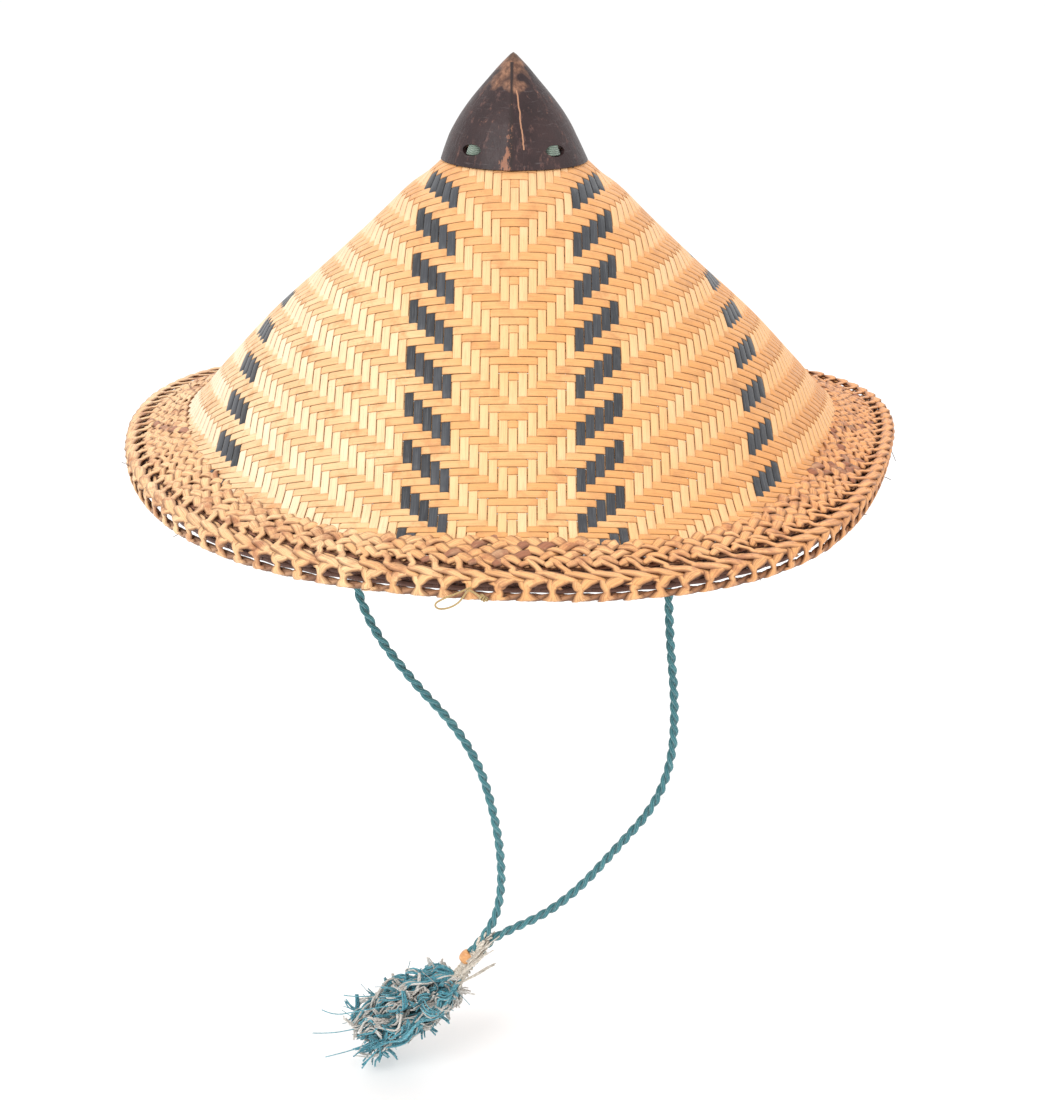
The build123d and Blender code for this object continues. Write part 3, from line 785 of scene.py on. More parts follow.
def make_uprights():
    """The strips that run from the brim up towards the finial."""
    draw = random.Random(11)
    natural, front, side = Build(), Build(), Build()
    rows = list(MAT_ROWS)
    edges = [row_middle(row - 0.5) for row in rows] + [row_middle(rows[-1] + 0.5)]
    widest = int(MAT_REACH / COLUMN_PITCH)
    for column in range(-widest, widest + 1):
        across = column * COLUMN_PITCH + draw.uniform(-0.08, 0.08)
        half = STRIP_HALF * draw.uniform(0.97, 1.02)
        tone = draw.random()
        places, lifts = cell_stations(edges, [1 if upright_over(row, column) else -1 for row in rows])
        build = natural
        if is_dyed(column):
            build = front if abs(column) <= FRONT_DYED[1] else side
        for low, high in runs_on_mat(MAT_LINE, np.full(len(MAT_LINE), across), MAT_LINE):
            down, levels = clip_stations(places, lifts, low, high)
            lay_strip(build, np.full(len(down), across), down, levels, half, tone)
    natural.piece("weave_uprights", PALE, "hat", "natural_weave", ("crown_weave",))
    front.piece("weave_dyed_front", DYED, "hat", "dyed_weave", ("front_dyed_strips",))
    side.piece("weave_dyed_sides", DYED, "hat", "dyed_weave", ("side_dyed_strips",))


def make_cross_strips():
    """The strips that run round the crown, over and under the uprights."""
    draw = random.Random(12)
    build = Build()
    widest = int(MAT_REACH / COLUMN_PITCH)
    columns = list(range(-widest, widest + 1))
    edges = [(column - 0.5) * COLUMN_PITCH for column in columns + [widest + 1]]
    for row in MAT_ROWS:
        down = row_middle(row) + draw.uniform(-0.08, 0.08)
        half = ROW_FILL * (row_middle(row + 0.5) - row_middle(row - 0.5)) * draw.uniform(0.97, 1.02)
        places, lifts = cell_stations(edges, [-1 if upright_over(row, column) else 1 for column in columns])
        tone = draw.random()
        for low, high in runs_on_mat(MAT_LINE, MAT_LINE, np.full(len(MAT_LINE), down)):
            across, levels = clip_stations(places, lifts, low, high)
            lay_strip(build, across, np.full(len(across), down), levels, half, tone)
    build.piece("weave_cross_strips", WARM, "hat", "natural_weave", ("crown_weave",))


# ---- the plaited brim

# the plait's crossings are counted outwards from the crown: (count, radius, height, half width)
PLAIT = [(-1, 195.6, 30.0, 2.3), (0.25, 199, 27.4, 2.5), (3.15, 207, 22.3, 2.8), (6.05, 215, 18.1, 2.8),
         (8.6, 222.0, 15.1, 2.6), (9.5, 224.4, 13.9, 1.3)]
PLAIT_AT, PLAIT_R, PLAIT_H, PLAIT_HALF = (np.array(column, float) for column in zip(*PLAIT))
PLAIT_NODES = ("brim_row_inner", "brim_row_middle", "brim_row_outer")
PLAIT_LIFT = 0.75
PLAIT_THICKNESS = 1.05
PITCH_TURN = TAU / EYELETS
STRAND = [(-1, -0.45), (-0.96, 0.05), (-0.5, 0.5), (0.3, 0.42), (0.96, 0.0), (1, -0.45)]

# the face of the brim's outer bands: (length along it, radius, height)
EDGE = [(-2.4, 220.2, 15.6), (0, 222.5, 14.6), (3.5, 226, 13.9), (7.2, 229.5, 12.9), (10.5, 232.8, 12.2),
        (12.9, 234.6, 10.6), (15.0, 235.1, 8.6), (17.9, 235.0, 5.7), (20.8, 234.6, 2.8), (23.0, 233.6, 0.9),
        (24.4, 232.4, 0.2)]
EDGE_AT, EDGE_R, EDGE_H = (np.array(column, float) for column in zip(*EDGE))


def plait_points(count, turn):
    """Points on the plait from a count of crossings outwards and a turn."""
    return hat_points(smooth_curve(count, PLAIT_AT, PLAIT_R), smooth_curve(count, PLAIT_AT, PLAIT_H), turn)


def edge_points(down, turn):
    """Points on the brim's outer bands from a length down their face and a turn."""
    return hat_points(smooth_curve(down, EDGE_AT, EDGE_R), smooth_curve(down, EDGE_AT, EDGE_H), turn)


def face_up(place, down, turn):
    """The direction out of a face at points of it."""
    along = place(down, turn + 0.002) - place(down, turn - 0.002)
    out = place(down + 0.02, turn) - place(down - 0.02, turn)
    return unit(np.cross(out, along))


def make_plait():
    """Two sets of strips lean opposite ways and cross, from under the mat's edge out to the slots."""
    draw = np.random.default_rng(21)
    tan, brown = Build(), Build()
    whole = np.arange(PLAIT_AT[0], PLAIT_AT[-1] + 0.01, 0.225)
    for lean in (-1, 1):
        for i in range(EYELETS):
            wander = np.interp(whole, np.linspace(whole[0], whole[-1], 7), draw.normal(0, 0.085, 7))
            roll = np.interp(whole, np.linspace(whole[0], whole[-1], 9), draw.normal(0, 0.22, 9))[:, None]
            puff = np.interp(whole, np.linspace(whole[0], whole[-1], 10), draw.uniform(0.84, 1.16, 10))
            lift, tone, is_brown = draw.uniform(0.85, 1.25), draw.random(), draw.random() < 0.07
            turn = PITCH_TURN * (i + lean * whole / 2 + wander)
            seen = smooth_curve(whole, PLAIT_AT, PLAIT_R) > mat_edge(turn) - 1.2
            first = int(np.argmax(seen))
            count, turn, roll, puff = whole[first:], turn[first:], roll[first:], puff[first:]
            middle = plait_points(count, turn)
            up = face_up(plait_points, count, turn)
            level_side = unit(np.cross(up, unit(np.gradient(middle, axis=0))))
            side = unit(level_side * np.cos(roll) + up * np.sin(roll))
            up = unit(up * np.cos(roll) - level_side * np.sin(roll))
            level = np.cos(np.pi * count) * lean
            sink = np.interp(count - count[0], [0, 0.5], [2.0, 0.0])
            middle = middle + up * (PLAIT_LIFT * lift * level - sink)[:, None]
            half = np.interp(count, PLAIT_AT, PLAIT_HALF) * (0.94 + 0.12 * level) * puff
            build = brown if is_brown else tan
            build.sweep(middle, side, up, STRAND, half, PLAIT_THICKNESS, tone)
    tan.piece("brim_plait", RIM, "hat", "rim_strand", PLAIT_NODES)
    brown.piece("brim_plait_brown", RIM_BROWN, "hat", "rim_strand", PLAIT_NODES[:2])


def make_plait_core():
    """Flat weavers that run round the brim under the plait, and dark weavers under the slots whose colour
    is painted shade.
    """
    build, shade_backing = Build(), Build()
    turn = full_turn(EYELETS * 5)
    for k, count in enumerate(np.arange(0.6, 9.6, 1.15)):
        counts = np.full(len(turn), count)
        sway = 0.35 * np.cos(turn * EYELETS / 2 + k * np.pi)
        line = plait_points(counts, turn) - UP * (2.6 + sway)[:, None]
        build.lay(line, face_up(plait_points, counts, turn), FLAT_STRIP, 2.0, 0.7, 0.12 * k, closed=True)
    # dark weavers under the slots, so that the slots read dark: painted shade
    for k, down in enumerate((-2.0, 0.4, 2.8, 5.2, 7.6)):
        lay_round_edge(shade_backing, down, 3.4, 1.6, 0.7, 0.2 * k, EYELETS * 5)
    build.piece("brim_core_weavers", RIM_BROWN, "hat", "rim_strand", PLAIT_NODES)
    shade_backing.piece("slot_row_shade_backing", RIM_SHADED, "hat", "rim_strand", ("brim_slotted_row",))


def lay_round_edge(build, down, under, half, thick, tone, steps):
    """A flat weaver right round the brim, at a place down its face and a depth under it."""
    turn = full_turn(steps)
    place = np.full(steps, down)
    up = face_up(edge_points, place, turn)
    build.lay(edge_points(place, turn) - up * under, up, FLAT_STRIP, half, thick, tone, closed=True)


def lay_on_edge(build, draw, start, strand, thick, tone, jitter=0.05):
    """Lays a strand on the brim's outer bands, a little out of place and uneven."""
    across, down, half, lift = np.array(strand, float).T
    steps = np.linspace(0, 1, len(strand) * 3)
    at = np.linspace(0, 1, len(strand))
    across = smooth_curve(steps, at, across + draw.normal(0, jitter, len(strand)))
    down = smooth_curve(steps, at, down + draw.normal(0, jitter * 3, len(strand)))
    half = smooth_curve(steps, at, half * draw.uniform(0.92, 1.08))
    lift = smooth_curve(steps, at, lift) * draw.uniform(0.9, 1.1)
    turn = PITCH_TURN * (start + across)
    middle = edge_points(down, turn)
    up = face_up(edge_points, down, turn)
    side = unit(np.cross(up, unit(np.gradient(middle, axis=0))))
    build.sweep(middle + up * lift[:, None], side, up, STRAND, half, thick, tone)


# strands of the brim's edge: (pitches round it, length down its face, half width, lift) at each point
SLOTTED = [(-0.40, -2.2, 2.3, 0.9), (-0.26, -0.4, 2.3, 0.95), (-0.12, 2.0, 1.9, 0.75),
           (0.0, 4.4, 1.75, 0.7), (0.10, 6.6, 2.1, 0.85), (0.22, 8.6, 2.4, 0.9)]
UPPER_LEAF = [(0.02, 7.8, 1.8, 0.9), (0.2, 8.6, 2.9, 1.25), (0.5, 9.5, 3.3, 1.3), (0.85, 10.4, 3.0, 0.95),
              (1.2, 11.3, 2.2, 0.3), (1.5, 12.0, 1.0, -0.4)]
LOWER_LEAF = [(0.5, 15.6, 1.9, 0.3), (0.58, 13.9, 2.4, 0.75), (0.8, 12.4, 2.7, 0.9),
              (1.05, 11.5, 2.3, 0.45), (1.3, 10.6, 1.0, -0.3)]
POST = [(0.03, 13.0, 4.9, 0.1), (0.0, 14.8, 3.4, 0.35), (0.0, 16.6, 2.0, 0.15), (0.0, 18.4, 1.9, 0.15),
        (0.0, 20.2, 3.5, 0.4), (0.03, 22.4, 5.6, 0.3)]
CROSSER = [(-0.05, 2.6, 1.0, -1.7), (0.2, 3.4, 1.2, -1.5), (0.5, 4.6, 1.3, -1.3), (0.8, 6.0, 1.2, -1.3),
           (1.08, 7.4, 1.0, -1.5)]


def make_border():
    """The slots, the herringbone band and the eyelets. Each slotted strand comes down beside a slot,
    turns along the band over the next one and tucks under the one after that."""
    draw = np.random.default_rng(22)
    slotted, band, posts, inner = Build(), Build(), Build(), Build()
    for i in range(EYELETS):
        tone = draw.random()
        lay_on_edge(slotted, draw, i, SLOTTED, 1.0, tone)
        lay_on_edge(band, draw, i, UPPER_LEAF, 1.1, tone)
        lay_on_edge(band, draw, i, LOWER_LEAF, 1.1, draw.random())
        lay_on_edge(posts, draw, i + 0.5, POST, 1.3, draw.random(), 0.03)
        lay_on_edge(inner, draw, i, CROSSER, 0.8, draw.random())
    for down in (9.0, 11.2):
        lay_round_edge(band, down, 0.7, 1.7, 0.9, draw.random(), EYELETS * 6)
    slotted.piece("brim_slotted_strands", RIM, "hat", "rim_strand", ("brim_slotted_row",))
    inner.piece("brim_slot_crossers", RIM, "hat", "rim_strand", ("brim_slotted_row",))
    band.piece("brim_herringbone", RIM, "hat", "rim_strand", ("brim_herringbone_row",))
    posts.piece("brim_eyelet_strands", RIM, "hat", "rim_strand", ("brim_eyelet_posts",))


ROPE_AT = (232.9, 2.1)       # radius and height of the middle of the rope at the lowest edge
ROPE_OFFSET = 0.85
ROPE_RADIUS = 1.6
HEM_RADIUS = 227.2
HEM_HEIGHTS = (8.4, 5.7, 3.0)
HEM_STAKE = (9.9, 1.8)       # heights of a stake's ends


def wound_loop(build, line, hint, offset, radius, turns, section, tones):
    """Plies, one for each tone, wound a whole number of times round a closed line."""
    side, up = closed_frames(line, np.broadcast_to(hint, line.shape))
    share = np.arange(len(line)) / len(line)
    for ply, tone in enumerate(tones):
        angle = TAU * (share * turns + ply / len(tones))
        wind(build, line, side, up, angle, offset, section, radius, tone, closed=True)


def make_brim_edge():
    """The two-ply rope at the lowest edge."""
    rope = Build()
    line = hat_points(*ROPE_AT, full_turn(EYELETS * 8))
    tones = np.random.default_rng(5).uniform(0.2, 0.9, 2)
    wound_loop(rope, line, UP, ROPE_OFFSET, ROPE_RADIUS, EYELETS // 2, circle(8, 0.85), tones)
    rope.piece("brim_edge_rope", EDGE_BROWN, "hat", "rim_dark_strand", ("brim_edge_binding",))


def make_hem():
    """The brown band inside the eyelets: flat strips twined round short stakes."""
    build = Build()
    turn = full_turn(EYELETS * 6)
    for k, height in enumerate(HEM_HEIGHTS):
        sway = 0.5 * np.cos(turn * EYELETS / 2 + k * np.pi)
        line = hat_points(HEM_RADIUS + sway, height, turn)
        side, up = closed_frames(line, np.broadcast_to(UP, line.shape))
        build.sweep(line, up, side, FLAT_STRIP, 1.5, 0.7, 0.3 + 0.2 * k, closed=True)
    for i in range(EYELETS):
        at = TAU * i / EYELETS
        line = hat_points(HEM_RADIUS, np.linspace(*HEM_STAKE, 5), at)
        build.lay(line, (math.sin(at), -math.cos(at), 0.02), FLAT_STRIP, 1.5, 0.7, 0.5)
    # the hem's dark colour is painted shade
    build.piece("brim_hem", RIM_SHADED, "hat", "rim_dark_strand", ("brim_hem_band",))


# ---- the finial

FINIAL_TURNS = [math.radians(a) for a in (37.5, -37.5, 142.5, 217.5)]
FINIAL_OUT = [(1.2, 247.4), (7.1, 241.5), (15.0, 232.6), (22.7, 223.7), (29.4, 214.8), (34.8, 205.8),
              (39.1, 196.7), (42.5, 188.5)]
FINIAL_FOOT = 188.5          # heights of the shell's lower edge, of its last ring and of its tip
FINIAL_LAST = 246.9
FINIAL_TIP = 248.0
FINIAL_WALL = 4.2
FINIAL_LEAN = 1.4            # how far to the left of the axis its upper part stands
SLOT_HEIGHT = 197.6


def finial_radius(height):
    """The shell's radius at a height over the brim's lowest edge."""
    r, h = np.array(FINIAL_OUT).T
    return smooth_curve(height, h[::-1], r[::-1])


def finial_shift(height):
    """How far to the left the shell leans at a height."""
    return -FINIAL_LEAN * min(max((height - 186) / 16, 0), 1)


def finial_point(radius, height, turn):
    """The shell isn't quite round: three soft ridges and shallow dents."""
    ridge = sum(math.exp(-(((turn - at + math.pi) % TAU - math.pi) / wide) ** 2)
                for at, wide in ((-0.06, 0.07), (2.0, 0.1), (-2.2, 0.1)))
    sharp = 0.012 + 0.014 * min(max((height - 200) / 40, 0), 1)
    shape = 1 + sharp * ridge + 0.006 * math.sin(2 * turn + 1) + 0.004 * math.sin(5 * turn + height * 0.15)
    return (radius * shape * math.sin(turn) + finial_shift(height), -radius * shape * math.cos(turn),
            height - RING_ABOVE_EDGE)


def slot_cutter(turn):
    """An almond-shaped plug that is taken out of the shell."""
    rim = [(6.6 * math.cos(a), 3.1 * math.sin(a) * abs(math.sin(a)) ** 0.15) for a in full_turn(24)]
    points = []
    for depth in (28.0, 52.0):
        for x, z in rim:
            points.append((x * math.cos(turn) + depth * math.sin(turn) + finial_shift(SLOT_HEIGHT),
                           x * math.sin(turn) - depth * math.cos(turn), SLOT_HEIGHT - RING_ABOVE_EDGE + z))
    n = len(rim)
    faces = [tuple(range(n))[::-1], tuple(range(n, 2 * n))]
    faces += [(i, (i + 1) % n, n + (i + 1) % n, n + i) for i in range(n)]
    mesh = bpy.data.meshes.new("cutter")
    mesh.from_pydata([tuple(c * MM for c in p) for p in points], [], faces)
    cutter = bpy.data.objects.new("cutter", mesh)
    bpy.context.collection.objects.link(cutter)
    return cutter


def ring_faces(start, rows, around):
    """Quads between rings of points, each ring over the last."""
    return [(start + row * around + k, start + row * around + (k + 1) % around,
             start + (row + 1) * around + (k + 1) % around, start + (row + 1) * around + k)
            for row in range(rows - 1) for k in range(around)]


def make_finial():
    """The shell, hollow inside, with its slots cut out."""
    around = 176
    rings = [(float(finial_radius(h)), float(h)) for h in np.linspace(FINIAL_FOOT, FINIAL_LAST, 54)]
    inner = [(max(r - FINIAL_WALL, 0.6), h - 2.0) for r, h in rings[:-4]]
    points = []
    for radius, height in rings:
        points += [finial_point(radius, height, TAU * k / around) for k in range(around)]
    tip = len(points)
    points.append((finial_shift(FINIAL_TIP), 0, FINIAL_TIP - RING_ABOVE_EDGE))
    for radius, height in inner:
        points += [finial_point(radius, height, TAU * k / around) for k in range(around)]
    inner_tip = len(points)
    points.append((0, 0, inner[-1][1] + 0.5 - RING_ABOVE_EDGE))
    start = tip + 1
    faces = ring_faces(0, len(rings), around)
    last = (len(rings) - 1) * around
    faces += [(last + k, last + (k + 1) % around, tip) for k in range(around)]
    faces += [(b, a, d, c) for a, b, c, d in ring_faces(start, len(inner), around)]
    last = start + (len(inner) - 1) * around
    faces += [(last + (k + 1) % around, last + k, inner_tip) for k in range(around)]
    faces += [((k + 1) % around, k, start + k, start + (k + 1) % around) for k in range(around)]
    mesh = bpy.data.meshes.new("finial_shell")
    mesh.from_pydata([tuple(c * MM for c in p) for p in points], [], faces)
    mesh.update()
    shell = bpy.data.objects.new("finial_shell", mesh)
    bpy.context.collection.objects.link(shell)
    for turn in FINIAL_TURNS:
        cutter = slot_cutter(turn)
        cut = shell.modifiers.new("slot", "BOOLEAN")
        cut.object = cutter
        cut.operation = "DIFFERENCE"
        cut.solver = "EXACT"
        graph = bpy.context.evaluated_depsgraph_get()
        done = bpy.data.meshes.new_from_object(shell.evaluated_get(graph))
        shell.modifiers.remove(cut)
        shell.data = done
        bpy.data.objects.remove(cutter)
    shell.data.name = "finial_shell"
    shell.data.materials.clear()
    shell.data.materials.append(SHELL)
    for polygon in shell.data.polygons:
        polygon.use_smooth = True
    shell.data.set_sharp_from_angle(angle=math.radians(42))
    settle(shell, "hat", ("finial",))


def make_finial_stitches():
    """Five turns of cord through each slot."""
    build = Build()
    draw = np.random.default_rng(31)
    for turn in FINIAL_TURNS:
        across, outward = across_at(turn), outward_at(turn)
        for k in range(5):
            height = SLOT_HEIGHT - RING_ABOVE_EDGE + (k - 2) * 1.05
            reach = 4.7 + draw.uniform(-0.3, 0.3)
            u = np.linspace(-1, 1, 13)
            surface = float(finial_radius(height + RING_ABOVE_EDGE))
            depth = surface - 0.6 - 3.6 * np.abs(u) ** 3.0
            line = across * (u * reach)[:, None] + outward * depth[:, None]
            line = line + np.array([finial_shift(SLOT_HEIGHT), 0, height])
            build.lay(line, UP, circle(8), 0.62, 0.62, draw.random())
    build.piece("finial_cord_stitches", STITCH, "hat", "stitch_cord", ("finial_stitches",))


KNOT_HINT = (0.31, 0.2, 0.93)      # a direction that no part of a knot runs along


def knot_line(centre, size):
    """A small overhand knot's line."""
    t = full_turn(60)
    x = np.sin(t) + 2 * np.sin(2 * t)
    y = np.cos(t) - 2 * np.cos(2 * t)
    z = -np.sin(3 * t) * 1.4
    return np.asarray(centre) + np.stack([x, y, z], axis=-1) * size / 3


def make_knots():
    """The knots under the mat, in which the finial's cords end."""
    build = Build()
    for k, turn in enumerate(FINIAL_TURNS):
        line = knot_line(hat_points(34, 183.4, turn), 1.9)
        build.lay(line, KNOT_HINT, circle(8), 0.75, 0.75, 0.25 * k, closed=True)
    build.piece("finial_cord_knots", STITCH, "hat", "stitch_cord", ("finial_knots",))


# ---- inside the hat

RING_MIDDLE = 89.5
RING_HEIGHT = 40.0
STAKES = 66
LASHING_OUT = 95.2           # from the axis to the threads' middles
LASHING_FOOT = 30.2
SEAM_SLANTS = (43.0, 226.0)  # where the back seam's stitches begin and end, down the crown's face


def make_head_ring():
    """A plain woven band: flat weavers go in and out of upright stakes."""
    weavers, stakes = Build(), Build()
    draw = random.Random(41)
    steps = STAKES * 4
    turn = full_turn(steps)
    rows = 8
    for row in range(rows):
        height = 2.4 + (RING_HEIGHT - 4.8) * row / (rows - 1)
        level = np.cos(turn * STAKES / 2 + row * np.pi)
        radius = RING_MIDDLE + 0.62 * level
        line = np.stack([radius * np.sin(turn), -radius * np.cos(turn), np.full(steps, height)], axis=-1)
        side, up = closed_frames(line, np.broadcast_to(UP, line.shape))
        weavers.sweep(line, up, side, FLAT_STRIP, 2.32, 0.8, draw.random(), closed=True)
    for stake in range(STAKES):
        at = TAU * stake / STAKES
        heights = np.linspace(0.3, RING_HEIGHT - 0.3, rows * 3)
        level = -np.cos(np.pi * (heights - 2.4) / (RING_HEIGHT - 4.8) * (rows - 1) + stake * np.pi)
        radius = RING_MIDDLE + 0.45 * level
        line = np.stack([radius * math.sin(at), -radius * math.cos(at), heights], axis=-1)
        stakes.lay(line, outward_at(at), FLAT_STRIP, 2.1, 0.8, draw.random())
    weavers.piece("head_ring_weavers", PALE, "hat", "cane", ("head_ring",))
    stakes.piece("head_ring_stakes", WARM, "hat", "cane", ("head_ring",))


def make_lashings():
    """Thread passed five times round each tie between the ring's upper hoop and a rib."""
    ring_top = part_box("head_ring_lashings")[1][2] / MM
    build = Build()
    draw = np.random.default_rng(42)
    for i in range(0, 12, 2):
        turn = math.pi / 12 + TAU * i / 12
        across, outward = across_at(turn), outward_at(turn)
        top = ring_top - (2.5 if i % 6 else 4.5)
        for k in range(5):
            t = np.linspace(0, 1, 12)
            sway = 0.35 * np.sin(t * 9 + draw.uniform(0, 6))
            line = across * ((k - 2) * 1.25 + sway)[:, None]
            line = line + outward * (LASHING_OUT + 0.3 * np.sin(t * np.pi))[:, None]
            line = line + UP * (LASHING_FOOT + (top - LASHING_FOOT) * t)[:, None]
            build.lay(line, outward, circle(7), 0.62, 0.62, draw.random())
    build.piece("head_ring_threads", GOLD, "hat", "golden_thread", ("head_ring_lashings",))


def make_seam_stitches():
    """Stitches that close the rolled mat, and a hem strip that backs them."""
    build = Build()
    draw = np.random.default_rng(43)
    for slant in np.linspace(*SEAM_SLANTS, 16):
        t = np.linspace(-1, 1, 9)
        at = crown_points(slant + 2.0 * t, math.pi + 3.0 * t / (slant * 0.7))
        line = at - UP * (2.9 + 0.5 * (1 - np.abs(t)) + 0.1 * draw.random())[:, None]
        build.lay(line, UP, circle(6), 0.5, 0.5, draw.random())
    hem = Build()
    slants = np.linspace(MAT_START - APEX_SLANT + 2, SEAM_SLANTS[1] + 2, 60)
    line = crown_points(slants, np.full(len(slants), math.pi)) - np.array([0, 0, 1.9])
    hem.lay(line, UP, FLAT_STRIP, 3.4, 0.6, 0.5)
    hem.piece("weave_seam_hem", WARM, "hat", "natural_weave", ("crown_weave",))
    build.piece("back_seam_threads", GOLD, "hat", "golden_thread", ("back_seam_stitches",))


def paint_cad_nodes():
    """The round canes keep their CAD shape and only get a material."""
    for name in ("crown_ribs", "crown_hoop_upper", "crown_hoop_lower", "head_ring_hoop_lower",
                 "head_ring_hoop_upper", "cord_pegs", "brim_hoop"):
        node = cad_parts[name]
        node.data.materials.clear()
        node.data.materials.append(CANE)
        for polygon in node.data.polygons:
            polygon.material_index = 0


# ---- the thread at the front edge

TIE_SHIFT = 4.6              # how far the loop lies to the right of the points below


def make_rim_tie():
    """A thin thread out of the herringbone band, with one loose loop and a small knot."""
    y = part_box("rim_tie")[0][1] / MM + 2.6
    build = Build()
    loop = np.array([
        (-14.5, y + 5.0, -63.5), (-16.0, y + 3.0, -64.6), (-20.0, y + 1.4, -66.6), (-25.0, y + 0.6, -69.2),
        (-31.0, y, -71.8), (-38.0, y - 0.4, -74.6), (-42.6, y - 0.4, -77.4), (-41.0, y, -80.4),
        (-36.0, y + 0.4, -80.2), (-31.0, y + 0.4, -77.6), (-28.2, y, -73.8), (-26.0, y - 0.8, -69.6),
        (-23.4, y - 0.8, -70.6), (-20.0, y - 0.4, -73.4),
    ]) + np.array((TIE_SHIFT, 0, 0))
    line = resample(nurbs_points([tuple(p) for p in loop]), 0.7)
    build.lay(line, (0.0, 1.0, 0.1), circle(7), 0.5, 0.5, 0.4)
    for k in range(3):
        knot = knot_line((-19.6 + TIE_SHIFT + 1.0 * k, y - 0.4, -73.4 - 0.7 * k), 1.5)
        build.lay(knot, KNOT_HINT, circle(6), 0.45, 0.45, 0.3 * k, closed=True)
    build.piece("rim_tie_thread", GOLD, "hat", "golden_thread", ("rim_tie",))


def make_stray_fibres():
    """Broken fibre ends that stand off the brim's edge."""
    build = Build()
    draw = np.random.default_rng(51)
    for turn in (-1.62, -1.35, -0.86, -0.3, 0.55, 1.02, 1.28, 1.5, 2.4, 3.3, 4.1):
        start = edge_points(np.array(21.0), np.array(turn))
        t = np.linspace(0, 1, 8)[:, None]
        way = unit(outward_at(turn) + draw.normal(0, 0.35, 3) + np.array([0, 0, -0.5]))
        bend = unit(draw.normal(0, 1, 3))
        line = start + way * t * draw.uniform(4, 7) + bend * t ** 2 * 2.5
        build.lay(line, (0.1, 0.2, 0.97), circle(4), 0.22 * np.linspace(1, 0.5, 8), 0.2, draw.random())
    build.piece("stray_fibres", RIM_SHADED, "hat", "rim_dark_strand")


# ---- eyes, bead, binding and tassel

BEAD_AT = np.array((-28.2, 0, -430.6))
BEAD_AXIS = unit(np.array((-0.62, 0, -0.78)))
BINDING_START = np.array((-17.5, -1.0, -420))
BINDING_END = np.array((-34.0, 2.0, -448.5))
TASSEL_END = np.array((-111.0, 0, -501))


def make_eyes():
    """The loop at the top of each leg, round its peg."""
    turn = full_turn(90)
    radius = EYE_INNER + 3.05
    for name, sign in (("left", -1), ("right", 1)):
        build = Build()
        height = PEG_HEIGHT + radius * np.cos(turn)
        line = np.stack([np.full(90, sign * EYE_MIDDLE), radius * np.sin(turn), height], axis=-1)
        wound_loop(build, line, (1.0, 0.0, 0.0), PLY_OFFSET, 1.5, 2, circle(10), (0.3, 0.7))
        node = f"cord_eye_{name}"
        build.piece(f"{node}_plies", TEAL, "chin_cord", "teal_cord", (node,))


def turned_solid(name, profile, start, axis, sides, material, slot, replaces):
    """A closed solid of revolution, from (length, radius) points, with its last joined to its first."""
    build = Build()
    side = unit(np.cross(axis, (0.0, 1.0, 0.1)))
    up = unit(np.cross(side, axis))
    t = full_turn(sides)
    ring_side = side * np.cos(t)[:, None] + up * np.sin(t)[:, None]
    centre = np.broadcast_to(start, ring_side.shape)
    section = [(radius, length) for length, radius in profile]
    ring_up = np.broadcast_to(axis, ring_side.shape)
    build.sweep(centre, ring_side, ring_up, section, 1.0, 1.0, 0.5, closed=True)
    return build.piece(name, material, "chin_cord", slot, replaces)


def make_bead():
    """A turned wooden bead with a hole along it."""
    length, radius, hole = 8.5, 4.6, 1.75
    lip = hole + 0.35
    outside = [(length * (0.5 - 0.5 * math.cos(a)), lip + (radius - lip) * math.sin(a) ** 0.7)
               for a in np.linspace(0.12, math.pi - 0.12, 22)]
    inside = [(length * s, hole) for s in (0.97, 0.75, 0.5, 0.25, 0.03)]
    start = BEAD_AT - BEAD_AXIS * length / 2
    profile = outside + inside
    turned_solid("bead", profile, start, BEAD_AXIS, 48, bead_material(), "bead_wood", ("cord_bead",))


def fibre(build, points, half, thick, tone, sides, taper):
    """One loose fibre along a smooth line, thinner towards its end."""
    line = resample(nurbs_points([tuple(p) for p in points], 6), 1.6)
    width = half * (1 - (1 - taper) * np.linspace(0, 1, len(line)) ** 3)
    build.lay(line, (0.21, 0.87, 0.43), circle(sides), width, thick, tone)


BINDING_FIBRES = 34
BINDING_WRAPS = 7
LOOSE_BUNDLES = (            # start, end, number of fibres, half thickness
    ((-31, -5, -440), (-10.5, -5, -421), 7, 0.75),
    ((-33, -6, -449), (-7.0, -5, -432.5), 4, 0.5),
    ((-26, -4, -432), (-5.5, -3, -412), 6, 0.7),
)


